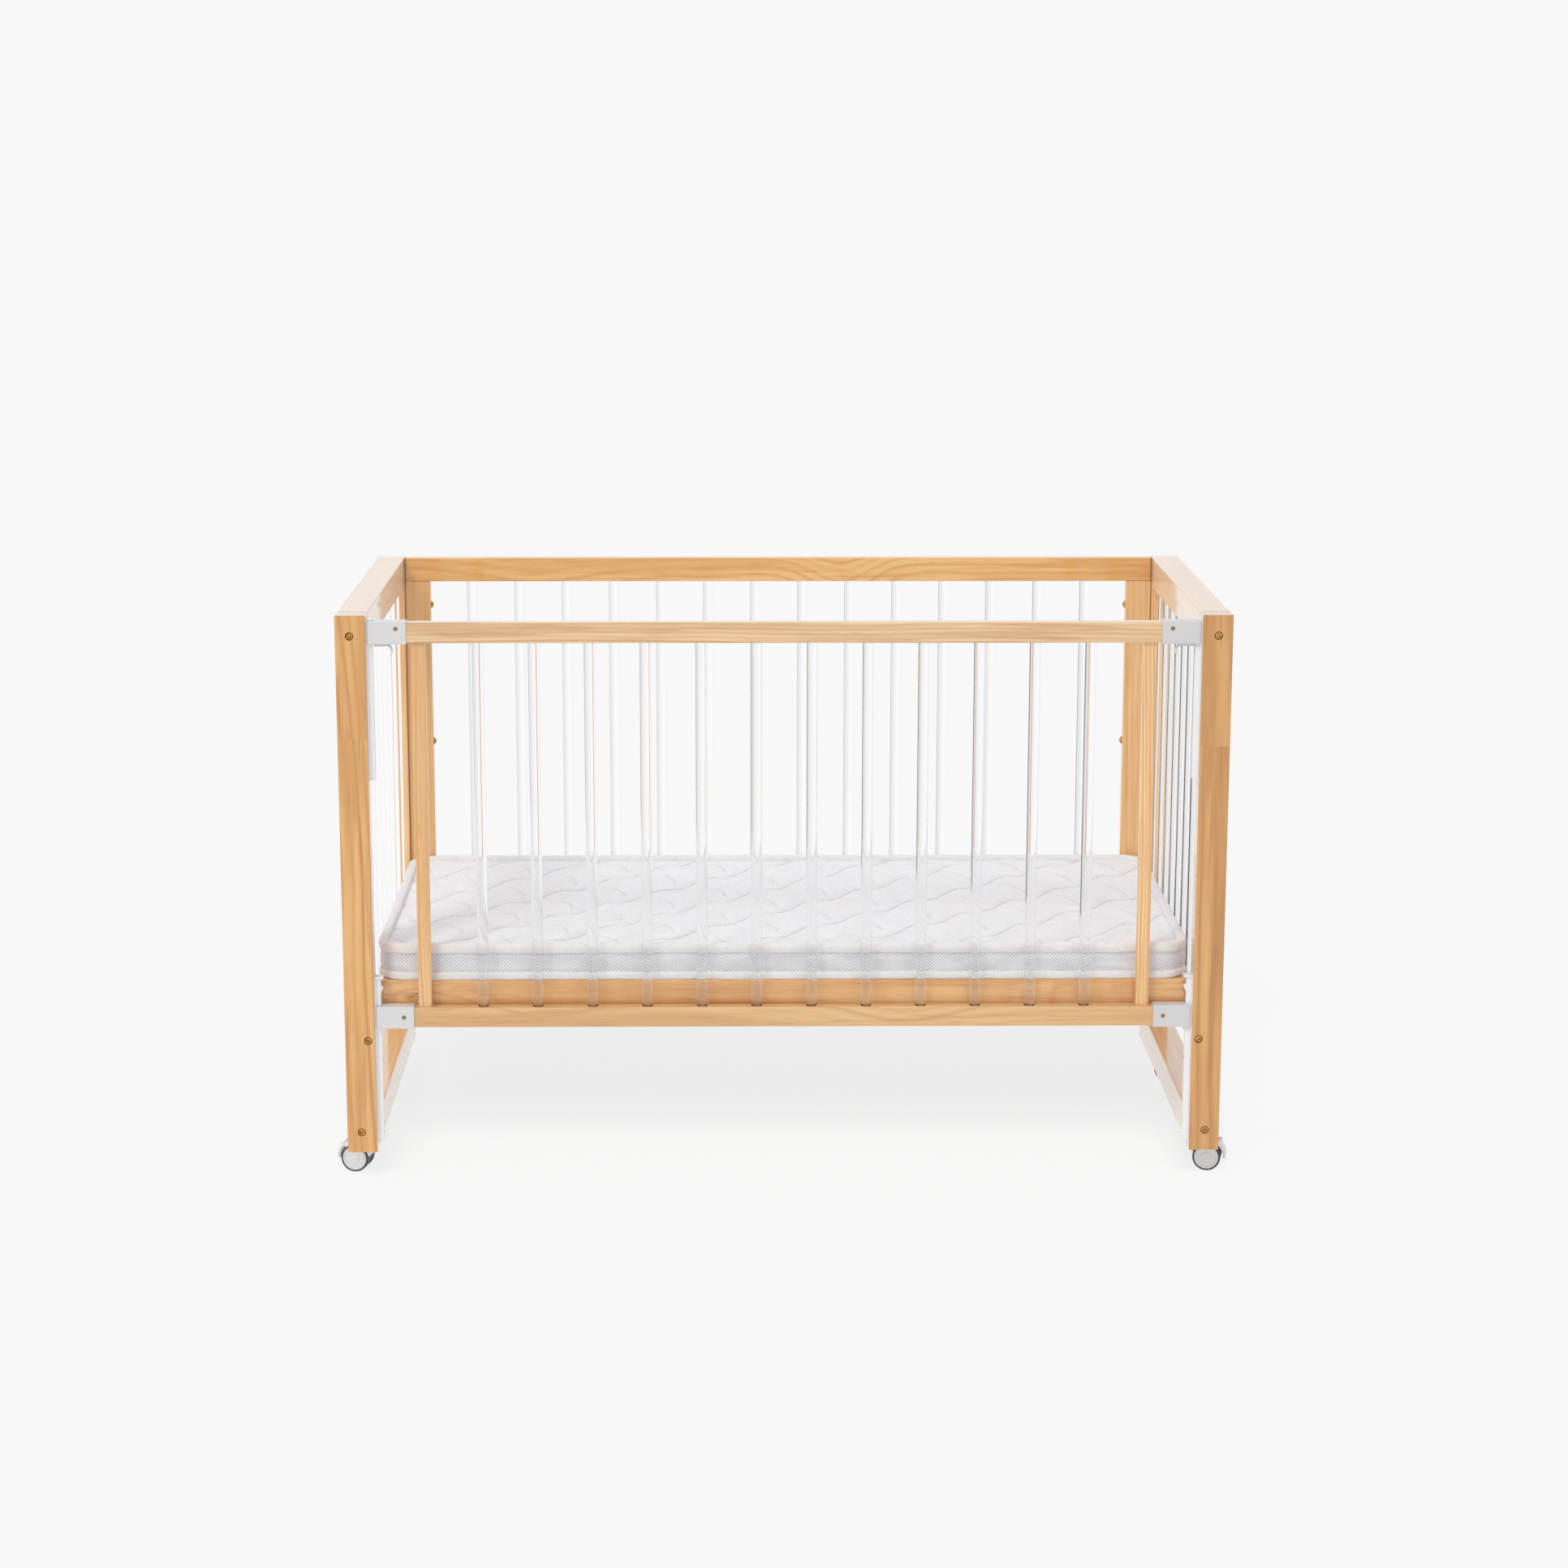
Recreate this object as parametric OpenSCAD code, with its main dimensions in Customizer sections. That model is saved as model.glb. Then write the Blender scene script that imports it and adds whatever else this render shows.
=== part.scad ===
// A wooden playpen: four posts, end panels and a back panel of clear rods, a front side
// that lowers on two pairs of tracks, a slatted base, a mattress and four swivelling casters.
// Origin on the floor under the middle of the frame. +X runs along the length to the right
// end, +Y to the back and +Z up. Heights named _z are measured from the foot of the posts.

/* [Frame] */
// Length over the outsides of the posts
frame_l = 1290; // [1270:5:1330]
// Width over the outsides of the posts
frame_w = 660; // [650:5:690]
// Length of a post
post_h = 800; // [795:1:840]
// Size of a post along the frame's length
post_w = 44; // [42:1:48]
// Size of a post along the frame's width
post_d = 35; // [33:1:38]
// Height of the top and bottom rails of the ends
end_rail_h = 48; // [44:1:56]
// Height of the rail that carries the end rods
mid_rail_h = 28; // [26:1:30]
// Thickness of that rail
mid_rail_t = 20; // [19:1:22]

/* [Rods] */
// Diameter of a clear rod
rod_d = 16; // [13:0.5:17]
// Rods in each end panel
end_rods = 7; // [5:1:8]
// Rods in the back panel
back_rods_n = 14; // [8:2:14]
// Distance between the back panel's rods
back_pitch = 76; // [60:1:78]
// Rods in the front side
drop_rods_n = 12; // [8:2:12]
// Distance between the front side's rods
drop_pitch = 80.3; // [60:0.1:82]

/* [Back panel] */
// Thickness of the back panel
back_t = 22; // [20:1:24]
// Height of its top rail
back_top_h = 38; // [34:1:44]
// Width of its stiles
stile_w = 41; // [36:1:44]

/* [Front side] */
// How far the front side lowers
drop_travel = 158; // [120:1:158]
// Height of the front side's rails
drop_rail_h = 30; // [28:1:30]
// Thickness of the front side's rails
drop_rail_t = 20; // [18:1:20]
// Width of the two wooden slats
slat_w = 20; // [16:1:24]
// Thickness of the two wooden slats
slat_t = 10; // [8:1:14]
// Distance of each slat from the middle
slat_x = 527; // [510:1:528]
// Pull of a latch trigger
latch_travel = 5; // [4.5:0.1:5]

/* [Base and mattress] */
// Height of the base boards
base_h = 67; // [60:1:70]
// Slats across the base
base_slats_n = 11; // [7:2:13]
// Thickness of the mattress
mattress_h = 55; // [40:1:80]
// Corner radius of the mattress
mattress_r = 45; // [40:1:70]

/* [Casters] */
// Height of the posts' feet above the floor
caster_h = 52; // [51:1:56]
// Diameter of a wheel
wheel_d = 42; // [38:1:42]
// Distance of the wheels' axle from the swivel axis
trail = 17; // [15:1:19]
// Angle of the casters to the frame's length
caster_turn = 12; // [0:1:45]

/* [Hidden] */
$fn = 48;
eps = 0.01;
edge_r = 2;                       // eased edges of the timber
end_ease = 0.9;                   // chamfers where a post's top meets its rail
fit = 0.1;                        // radial gap of fixed pieces in their holes
slip = 0.5;                       // gap around the tracks

post_x = frame_l / 2 - post_w / 2;
post_y = frame_w / 2 - post_d / 2;
in_x = frame_l / 2 - post_w;      // inner faces of the posts
in_y = frame_w / 2 - post_d;
end_rail_l = 2 * in_y;
end_top_z = post_h - end_rail_h;

mid_z = 156;
mid_top = mid_z + mid_rail_h;
mid_x = in_x + mid_rail_t / 2;
end_pitch = end_rail_l / (end_rods + 1);
tenon_d = 10;
tenon_l = 12;

// Connector bolts: [x, height, underside of the rail that each one pulls on]
bolt_in = 21;                     // from the post's outer side to the bolt
bolts = [
    [frame_l / 2 - bolt_in, end_top_z + 18, end_top_z],
    [mid_x, mid_z + mid_rail_h / 2, mid_z],
    [frame_l / 2 - bolt_in, 30.5, 0]
];
bolt_d = 6;
bolt_head_d = 11;
bolt_head_h = 5;
bolt_bore_d = bolt_head_d + 1.2;
bolt_sunk = 1.2;                  // from the post's face to the bolt's head
bolt_l = 68;
socket_af = 5;                    // hexagon socket, across flats
nut_d = 10;
nut_l = 16;
nut_in = 25;                      // from the rail's end to the barrel nut

back_gap = 0.2;
back_hl = in_x - back_gap;        // half the back panel's length
back_front = in_y + 8;
back_y = back_front + back_t / 2;
back_bottom_z = 190;
back_bottom_h = 30;
back_low = back_bottom_z + back_bottom_h;
back_high = post_h - back_top_h;
stile_in = back_hl - stile_w;
back_bolt_z = [277, 500, 723];
insert_d = 9.5;
insert_l = 14;
dome_h = 4;

drop_y = -(frame_w / 2 - 15.5);
bracket_l = 55;
bracket_h = 33;
bracket_d = drop_rail_t + 3;
bracket_wall = (bracket_h - drop_rail_h) / 2;
bracket_out = in_x - 2.5;
bracket_in = bracket_out - bracket_l;
drop_hl = bracket_in + 31;        // half the length of the front side's rails
top_bracket_z = 757.5;
low_bracket_z = 187.5;
drop_top_z = top_bracket_z + bracket_wall;
drop_bottom_z = low_bracket_z + bracket_wall;
drop_low = drop_bottom_z + drop_rail_h;
bracket_screw_in = 14.5;
top_screw_z = 22.5;
low_screw_z = 17;

flange_t = 2;
flange_w = 20;
rib_t = 7;
rib_w = 10;
rib_in = in_x - flange_t - rib_t;
upper_track = [558, 794];
lower_track = [13, 265];
stop_z = 25;
stop_d = 7;
tooth_z = 240;
groove_w = 5.6;
groove_t = 3.6;

screw_d = 3;
screw_head_d = 6.4;
screw_head_h = 1.7;

latch_z = top_bracket_z + 10.7;   // axis of the latch bolt
latch_s = 8;                      // side of the square latch bolt
nose_s = 5;
nose_l = 4.2;
latch_back = bracket_out - 15.5;
channel_in = latch_back - 6.2;
bar_t = 3.5;
finger_r = 10.5;
spring_r = 2.1;
spring_wire = 0.35;
spring_turns = 7;

base_hl = in_x - 8;
base_hw = in_y + 3;
base_t = 20;
angle_t = 3;
base_z = mid_top + angle_t;
base_top = base_z + base_h;
angle_leg = 26;
angle_l = 400;
base_slat_w = 60;
base_slat_t = 12;
cleat_s = 20;
slat_hw = base_hw - base_t - 0.5;  // half a slat's length
slat_screw_l = base_slat_t + 14;

mattress_hl = in_x - 1;
mattress_hw = in_y + 5;

caster_x = post_x;
caster_y = in_y - 49;
stem_d = 7;
stem_top_d = 8;
collar_h = 3.5;
run_fit = 0.05;                   // radial gap of a turning pin
wheel_r = wheel_d / 2;
tread_t = 2.7;
web_w = 10;
caster_w = 36;
wheel_in = web_w / 2 + 0.5;
wheel_w = caster_w / 2 - wheel_in - 0.2;
axle_d = 5;
hood_in = wheel_r + 1.2;
hood_out = wheel_r + 3.8;
pedal_pivot_r = wheel_r + 6.5;
pedal_pivot_a = 48;
pedal_w = 24;
pedal_pin_d = 3;

pine = [0.87, 0.69, 0.46];
pale_pine = [0.90, 0.78, 0.60];
deep_pine = [0.80, 0.60, 0.38];
clear = [0.85, 0.90, 0.94, 0.45];
white = [0.88, 0.88, 0.89];
zinc = [0.78, 0.66, 0.36];
steel = [0.66, 0.67, 0.69];
dark = [0.22, 0.22, 0.24];
quilt = [0.93, 0.92, 0.91];

// ---- shared shapes ----

// Draws its children on the right side, or mirrored on the left.
module on_side(side) {
    if (side < 0) mirror([1, 0, 0]) children();
    else children();
}

module both_sides() {
    for (side = [-1, 1]) on_side(side) children();
}

// Moves its children from the feet of the posts to the floor's zero.
module raised() {
    translate([0, 0, caster_h]) children();
}

module rounded_rect(w, d, r) {
    square([w - 2 * r, d], center = true);
    square([w, d - 2 * r], center = true);
    for (x = [-1, 1], y = [-1, 1])
        translate([x * (w / 2 - r), y * (d / 2 - r)]) circle(r);
}

// Bars with eased long edges, centred across and along.
module bar_x(l, d, h, r = edge_r) {
    rotate([90, 0, 90]) linear_extrude(l, center = true) rounded_rect(d, h, r);
}

module bar_y(l, w, h, r = edge_r) {
    rotate([90, 0, 0]) linear_extrude(l, center = true) rounded_rect(w, h, r);
}

// A cylinder along +X or +Y that starts at the origin.
module rod_x(d, l) {
    rotate([0, 90, 0]) cylinder(d = d, h = l);
}

module rod_y(d, l) {
    rotate([-90, 0, 0]) cylinder(d = d, h = l);
}

// A clear rod between two rails, with a thin tenon at each end.
module clear_rod(z0, z1) {
    translate([0, 0, z0]) cylinder(d = rod_d, h = z1 - z0);
    translate([0, 0, z0 - tenon_l]) cylinder(d = tenon_d, h = z1 - z0 + 2 * tenon_l);
}

// The hole for one tenon, upwards or downwards from a rail's face.
module tenon_hole(z, up) {
    h = tenon_l + 1;
    translate([0, 0, up ? z - eps : z - h]) cylinder(d = tenon_d + 2 * fit, h = h + eps);
}

function row(n, pitch) = [for (i = [0:n - 1]) (i - (n - 1) / 2) * pitch];

// A countersunk screw that goes along +X from the face at x = 0.
module screw_x(l, gap = 0) {
    d = screw_d + 2 * gap;
    rotate([0, 90, 0]) {
        translate([0, 0, gap > 0 ? -1 : 0])
            cylinder(d = d, h = l + (gap > 0 ? 1.5 : 0));
        cylinder(d1 = screw_head_d + 2 * gap, d2 = d, h = screw_head_h + gap);
    }
}

module screw_y(l, gap = 0) {
    rotate([0, 0, 90]) screw_x(l, gap);
}

// A slotted countersunk screw, as fitted.
module slotted_screw_x(l) {
    difference() {
        screw_x(l);
        translate([-eps, -screw_head_d, -0.4]) cube([0.9, 2 * screw_head_d, 0.8]);
    }
}

// ---- posts ----

// A chamfer across the top at y, with its ends past the edges of a piece as wide as a post.
module ease_x(y) {
    s = end_ease * sqrt(2);
    translate([0, y, post_h]) rotate([45, 0, 0]) cube([post_w + 2, s, s], center = true);
}

module ease_y(x) {
    s = end_ease * sqrt(2);
    translate([x, 0, post_h]) rotate([0, 45, 0]) cube([s, post_d + 2, s], center = true);
}

module post_bar(side, end) {
    difference() {
        translate([side * post_x, end * post_y, 0])
            linear_extrude(post_h) rounded_rect(post_w, post_d, edge_r);
        translate([side * post_x, end * post_y, 0]) for (way = [-1, 1]) {
            ease_x(way * post_d / 2);
            ease_y(way * post_w / 2);
        }
        for (b = bolts) translate([side * b[0], end * frame_w / 2, b[1]])
            rotate([0, 0, end > 0 ? 180 : 0]) {
                translate([0, -1, 0]) rod_y(bolt_d + 1, post_d + 2);
                translate([0, -1, 0]) rod_y(bolt_bore_d, bolt_sunk + bolt_head_h + 1);
            }
    }
}

module post_front(side) {
    color(pine) raised() difference() {
        post_bar(side, -1);
        on_side(side) for (z = track_screw_heights())
            translate([in_x - 1, drop_y, z]) rod_x(screw_d + 2 * fit, 14);
    }
}

module post_rear(side) {
    color(pine) raised() difference() {
        post_bar(side, 1);
        on_side(side) for (z = back_bolt_z)
            translate([in_x - 1, back_y, z]) rod_x(insert_d + 2 * fit, insert_l + 2);
    }
}

// ---- end panels ----

// Holes in both ends of a rail for its bolts, and the cross holes for their barrel nuts.
module connector_holes(b) {
    for (end = [-1, 1]) {
        translate([b[0], end > 0 ? in_y - 36 : -in_y - 1, b[1]]) rod_y(bolt_d + 1, 37);
        translate([b[0], end * (in_y - nut_in), b[2] - 1])
            cylinder(d = nut_d + 2 * fit, h = b[1] - b[2] + nut_l / 2 + 1.5);
    }
}

module end_top_rail(side) {
    color(pine) raised() on_side(side) difference() {
        translate([post_x, 0, end_top_z + end_rail_h / 2]) bar_y(end_rail_l, post_w, end_rail_h);
        for (way = [-1, 1]) translate([post_x, 0, 0]) ease_x(way * in_y);
        connector_holes(bolts[0]);
        for (y = row(end_rods, end_pitch)) translate([mid_x, y, 0]) tenon_hole(end_top_z, true);
    }
}

module end_mid_rail(side) {
    color(pine) raised() on_side(side) difference() {
        translate([mid_x, 0, mid_z + mid_rail_h / 2]) bar_y(end_rail_l, mid_rail_t, mid_rail_h);
        connector_holes(bolts[1]);
        for (y = row(end_rods, end_pitch)) translate([mid_x, y, 0]) tenon_hole(mid_top, false);
        for (y = angle_screw_row()) translate([in_x - angle_t, y, mid_z + 9]) screw_x(16, fit);
    }
}

module end_bottom_rail(side) {
    color(pine) raised() on_side(side) difference() {
        translate([post_x, 0, end_rail_h / 2]) bar_y(end_rail_l, post_w, end_rail_h);
        connector_holes(bolts[2]);
        for (end = [-1, 1]) translate([caster_x, end * caster_y, -1])
            cylinder(d = stem_top_d + 2 * fit, h = 22);
    }
}

module end_rod_row(side) {
    color(clear) raised() on_side(side)
        for (y = row(end_rods, end_pitch)) translate([mid_x, y, 0]) clear_rod(mid_top, end_top_z);
}

module post_bolts() {
    color(zinc) raised() both_sides() for (end = [-1, 1], b = bolts)
        translate([b[0], end * (frame_w / 2 - bolt_sunk), b[1]])
            rotate([0, 0, end > 0 ? 180 : 0]) difference() {
                union() {
                    translate([0, 1, 0]) rod_y(bolt_head_d, bolt_head_h - 1);
                    rotate([-90, 0, 0])
                        cylinder(d1 = bolt_head_d - 2, d2 = bolt_head_d, h = 1 + eps);
                    rod_y(bolt_d, bolt_l);
                }
                translate([0, -eps, 0]) rotate([-90, 0, 0])
                    cylinder(d = socket_af / cos(30), h = 3.5, $fn = 6);
            }
}

module barrel_nuts() {
    color(steel) raised() both_sides() for (end = [-1, 1], b = bolts)
        translate([b[0], end * (in_y - nut_in), b[1]]) difference() {
            translate([0, 0, -nut_l / 2]) cylinder(d = nut_d, h = nut_l);
            translate([0, -nut_d, 0]) rod_y(bolt_d + 2 * fit, 2 * nut_d);
            translate([-nut_d, -0.6, -nut_l / 2 - eps]) cube([2 * nut_d, 1.2, 1]);
        }
}

// ---- back panel ----

stile_tenon = [stile_w - 13, 8, 14];

// The tenon of a stile, or with a gap its mortise, upwards or downwards from height z.
module stile_tenon(z, up, gap = 0) {
    size = [stile_tenon[0] + 2 * gap, stile_tenon[1] + 2 * gap, stile_tenon[2] + gap];
    translate([stile_in + stile_w / 2 - size[0] / 2, back_y - size[1] / 2, up ? z : z - size[2]])
        translate([0, 0, up ? -eps : 0]) cube([size[0], size[1], size[2] + eps]);
}

module back_top_rail() {
    color(pine) raised() difference() {
        translate([0, back_y, post_h - back_top_h / 2]) bar_x(2 * back_hl, back_t, back_top_h);
        for (x = row(back_rods_n, back_pitch)) translate([x, back_y, 0])
            tenon_hole(back_high, true);
        both_sides() stile_tenon(back_high, true, fit);
    }
}

module back_bottom_rail() {
    color(pine) raised() difference() {
        translate([0, back_y, back_bottom_z + back_bottom_h / 2])
            bar_x(2 * back_hl, back_t, back_bottom_h);
        for (x = row(back_rods_n, back_pitch)) translate([x, back_y, 0])
            tenon_hole(back_low, false);
        both_sides() stile_tenon(back_low, false, fit);
    }
}

module back_stiles() {
    color(pine) raised() both_sides() difference() {
        union() {
            translate([stile_in + stile_w / 2, back_y, back_low])
                linear_extrude(back_high - back_low) rounded_rect(stile_w, back_t, edge_r);
            stile_tenon(back_high, true);
            stile_tenon(back_low, false);
        }
        for (z = back_bolt_z) translate([stile_in - 1, back_y, z])
            rod_x(bolt_d + 0.6, stile_w + 2);
    }
}

module back_rods() {
    color(clear) raised() for (x = row(back_rods_n, back_pitch))
        translate([x, back_y, 0]) clear_rod(back_low, back_high);
}

// Domed bolts that draw the stiles to the rear posts.
module back_bolts() {
    dome_d = 12.5;
    dome_r = (dome_h * dome_h + dome_d * dome_d / 4) / (2 * dome_h);
    color(zinc) raised() both_sides() for (z = back_bolt_z)
        translate([stile_in, back_y, z]) difference() {
            union() {
                rod_x(bolt_d, stile_w + back_gap + insert_l);
                intersection() {
                    translate([dome_r - dome_h, 0, 0]) sphere(dome_r);
                    translate([-dome_h, 0, 0]) rod_x(dome_d, dome_h);
                }
            }
            translate([-dome_h - eps, 0, 0]) rotate([0, 90, 0])
                cylinder(d = socket_af / cos(30), h = 2.5, $fn = 6);
        }
}

module post_inserts() {
    color(zinc) raised() both_sides() for (z = back_bolt_z)
        translate([in_x, back_y, z]) difference() {
            rod_x(insert_d, insert_l);
            translate([-1, 0, 0]) rod_x(bolt_d + 2 * fit, insert_l + 2);
        }
}

// ---- tracks on the front posts ----

function track_heights(track) = [
    for (t = [0.12, 0.5, 0.88]) track[0] + t * (track[1] - track[0])
];
function track_screw_heights() = concat(track_heights(upper_track), track_heights(lower_track));

module track_body(track) {
    h = track[1] - track[0];
    translate([in_x - flange_t, drop_y - flange_w / 2, track[0]]) cube([flange_t, flange_w, h]);
    translate([rib_in, drop_y - rib_w / 2, track[0]]) cube([rib_t + eps, rib_w, h]);
}

// The upper track's groove lets the latch's nose run down with the front side.
module track_upper(side) {
    groove_top = latch_z + nose_s / 2 + 0.4;
    color(white) raised() on_side(side) difference() {
        track_body(upper_track);
        translate([rib_in - 1, drop_y - groove_w / 2, upper_track[0] - 1])
            cube([groove_t + 1, groove_w, groove_top - upper_track[0] + 1]);
        for (z = track_heights(upper_track)) translate([rib_in, drop_y, z]) {
            translate([-1, 0, 0]) rod_x(screw_head_d + 2 * fit, groove_t + 1);
            translate([groove_t, 0, 0]) screw_x(16, fit);
        }
    }
}

// The lower track carries a lip and a tooth above the bracket and the stop below it.
module track_lower(side) {
    color(white) raised() on_side(side) difference() {
        union() {
            track_body(lower_track);
            translate([rib_in - 4, drop_y - 8, lower_track[1] - 3]) cube([rib_t + 6, 16, 3]);
            translate([rib_in, drop_y + 3, tooth_z]) rotate([90, 0, 0]) linear_extrude(6)
                polygon([[eps, 0], [-3, 6], [-3, 9], [eps, 10]]);
            translate([rib_in - 6, drop_y, stop_z]) rod_x(stop_d, 6 + eps);
        }
        for (z = track_heights(lower_track)) translate([rib_in, drop_y, z]) screw_x(20, fit);
    }
}

module track_screws() {
    color(zinc) raised() both_sides() {
        for (z = track_heights(upper_track))
            translate([rib_in + groove_t, drop_y, z]) slotted_screw_x(16);
        for (z = track_heights(lower_track))
            translate([rib_in, drop_y, z]) slotted_screw_x(20);
    }
}

// ---- front side ----

module slat_tenon(z, up, gap = 0) {
    size = [slat_w - 6 + 2 * gap, slat_t - 4 + 2 * gap, 10 + gap];
    translate([slat_x - size[0] / 2, drop_y - size[1] / 2, up ? z - eps : z - size[2]])
        cube([size[0], size[1], size[2] + eps]);
}

module drop_rail(z, screw_z) {
    difference() {
        translate([0, drop_y, z + drop_rail_h / 2]) bar_x(2 * drop_hl, drop_rail_t, drop_rail_h);
        both_sides() translate([bracket_in + bracket_screw_in, drop_y - bracket_d / 2, screw_z])
            screw_y(16, fit);
        children();
    }
}

module drop_top_rail() {
    color(pale_pine) raised() drop_rail(drop_top_z, top_bracket_z + top_screw_z) {
        for (x = row(drop_rods_n, drop_pitch)) translate([x, drop_y, 0])
            tenon_hole(drop_top_z, true);
        both_sides() slat_tenon(drop_top_z, true, fit);
    }
}

module drop_bottom_rail() {
    color(pale_pine) raised() drop_rail(drop_bottom_z, low_bracket_z + low_screw_z) {
        for (x = row(drop_rods_n, drop_pitch)) translate([x, drop_y, 0])
            tenon_hole(drop_low, false);
        both_sides() slat_tenon(drop_low, false, fit);
    }
}

module drop_slats() {
    color(pale_pine) raised() both_sides() {
        translate([slat_x, drop_y, drop_low])
            linear_extrude(drop_top_z - drop_low) rounded_rect(slat_w, slat_t, 3);
        slat_tenon(drop_top_z, true);
        slat_tenon(drop_low, false);
    }
}

module drop_rods() {
    color(clear) raised() for (x = row(drop_rods_n, drop_pitch))
        translate([x, drop_y, 0]) clear_rod(drop_low, drop_top_z);
}

// A cap over a rail's end, slotted to run on the track.
module bracket_shell(z, screw_z) {
    difference() {
        translate([bracket_in + bracket_l / 2, drop_y, z + bracket_h / 2])
            bar_x(bracket_l, bracket_d, bracket_h, 1.2);
        translate([bracket_in - 1, drop_y - drop_rail_t / 2 - fit, z + bracket_wall - fit])
            cube([drop_hl - bracket_in + 1 + fit, drop_rail_t + 2 * fit, drop_rail_h + 2 * fit]);
        translate([rib_in - slip, drop_y - rib_w / 2 - slip, z - 1])
            cube([rib_t + 2, rib_w + 2 * slip, bracket_h + 2]);
        translate([bracket_in + bracket_screw_in, drop_y - bracket_d / 2, z + screw_z])
            screw_y(10, fit);
        children();
    }
}

// The upper brackets also hold the latch bolt and the slot for its trigger.
module bracket_top(side) {
    color(white) raised() on_side(side) bracket_shell(top_bracket_z, top_screw_z) {
        translate([channel_in, drop_y - latch_s / 2 - 0.2, latch_z - latch_s / 2 - 0.2])
            cube([rib_in - channel_in, latch_s + 0.4, latch_s + 0.4]);
        translate([channel_in + 0.4, drop_y - 2.3, top_bracket_z - 1])
            cube([rib_in - channel_in - 1.4, 4.6, latch_z - top_bracket_z]);
    }
}

module bracket_bottom(side) {
    color(white) raised() on_side(side) bracket_shell(low_bracket_z, low_screw_z);
}

module bracket_screws() {
    color(zinc) raised() both_sides()
        for (z = [top_bracket_z + top_screw_z, low_bracket_z + low_screw_z])
            translate([bracket_in + bracket_screw_in, drop_y - bracket_d / 2, z])
                rotate([0, 0, 90]) slotted_screw_x(16);
}

// A flat ring between two angles, drawn about the origin.
module arc_band(r0, r1, a0, a1) {
    steps = 8;
    reach = 2 * r1;
    intersection() {
        difference() {
            circle(r1);
            circle(r0);
        }
        polygon(concat([[0, 0]], [
            for (i = [0:steps]) let (a = a0 + (a1 - a0) * i / steps) [reach * cos(a), reach * sin(a)]
        ]));
    }
}

// The latch bolt with its nose, its bar under the bracket and the curved finger pull.
module latch_trigger(side) {
    bar_top = top_bracket_z - 0.5;
    neck_x = latch_back + 0.8;
    finger_x = latch_back - 9;
    bore_d = 2 * (spring_r + spring_wire) + 0.5;
    color(white) raised() on_side(side) translate([0, drop_y, 0]) {
        difference() {
            translate([latch_back, -latch_s / 2, latch_z - latch_s / 2])
                cube([latch_s, latch_s, latch_s]);
            translate([latch_back - 1, 0, latch_z]) rod_x(bore_d, latch_s - 1);
        }
        translate([latch_back + latch_s - eps, -nose_s / 2, latch_z - nose_s / 2])
            cube([nose_l, nose_s, nose_s]);
        translate([neck_x, -2, bar_top - eps])
            cube([6, 4, latch_z - latch_s / 2 - bar_top + 2 * eps]);
        translate([finger_x, -latch_s / 2, bar_top - bar_t])
            cube([neck_x + 6 - finger_x, latch_s, bar_t]);
        translate([finger_x, latch_s / 2, bar_top - finger_r]) rotate([90, 0, 0])
            linear_extrude(latch_s) arc_band(finger_r - 2.6, finger_r, 90, 222);
    }
}

// A round-wire coil along +X.
module coil_spring(l, r, wire, turns) {
    per_turn = 12;
    sides = 6;
    n = turns * per_turn;
    points = [
        for (i = [0:n], j = [0:sides - 1])
            let (a = 360 * i / per_turn, b = 360 * j / sides, rr = r + wire * cos(b))
            [wire + (l - 2 * wire) * i / n + wire * sin(b), rr * cos(a), rr * sin(a)]
    ];
    walls = [
        for (i = [0:n - 1], j = [0:sides - 1])
            let (k = (j + 1) % sides, p = i * sides, q = p + sides)
            each [[p + j, q + j, q + k], [p + j, q + k, p + k]]
    ];
    first = [for (j = [0:sides - 1]) j];
    last = [for (j = [sides - 1:-1:0]) n * sides + j];
    polyhedron(points, concat([first], walls, [last]));
}

module latch_spring(side) {
    color(steel) raised() on_side(side) translate([channel_in + 0.1, drop_y, latch_z])
        coil_spring(latch_back - channel_in + latch_s - 2.2, spring_r, spring_wire, spring_turns);
}

// ---- base and mattress ----

module base_long_boards() {
    color(deep_pine) raised() for (end = [-1, 1])
        translate([0, end * (base_hw - base_t / 2), base_z + base_h / 2])
            bar_x(2 * base_hl, base_t, base_h);
}

function angle_screw_row() = row(3, 111);
function angle_lift_row() = row(2, 250);

module base_end_boards() {
    color(deep_pine) raised() both_sides() difference() {
        translate([base_hl - base_t / 2, 0, base_z + base_h / 2])
            bar_y(2 * (base_hw - base_t), base_t, base_h);
        for (y = angle_lift_row()) translate([base_hl - base_t / 2, y, base_z - angle_t])
            rotate([0, -90, 0]) screw_x(20, fit);
    }
}

function base_slat_row() = row(base_slats_n, 2 * (base_hl - base_t - 40) / (base_slats_n - 1));

// Places a thing along X down into each end of each slat.
module at_slat_screws() {
    for (x = base_slat_row(), end = [-1, 1])
        translate([x, end * (slat_hw - cleat_s / 2), base_top]) rotate([0, 90, 0]) children();
}

module base_cleats() {
    color(deep_pine) raised() difference() {
        for (end = [-1, 1])
            translate([0, end * (base_hw - base_t - cleat_s / 2), base_top - base_slat_t - cleat_s / 2])
                bar_x(2 * (base_hl - base_t), cleat_s, cleat_s, 1);
        at_slat_screws() screw_x(slat_screw_l, fit);
    }
}

module base_slats() {
    color(pale_pine) raised() difference() {
        for (x = base_slat_row()) translate([x, 0, base_top - base_slat_t / 2])
            bar_y(2 * slat_hw, base_slat_w, base_slat_t, 1.5);
        at_slat_screws() screw_x(slat_screw_l, fit);
    }
}

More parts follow.
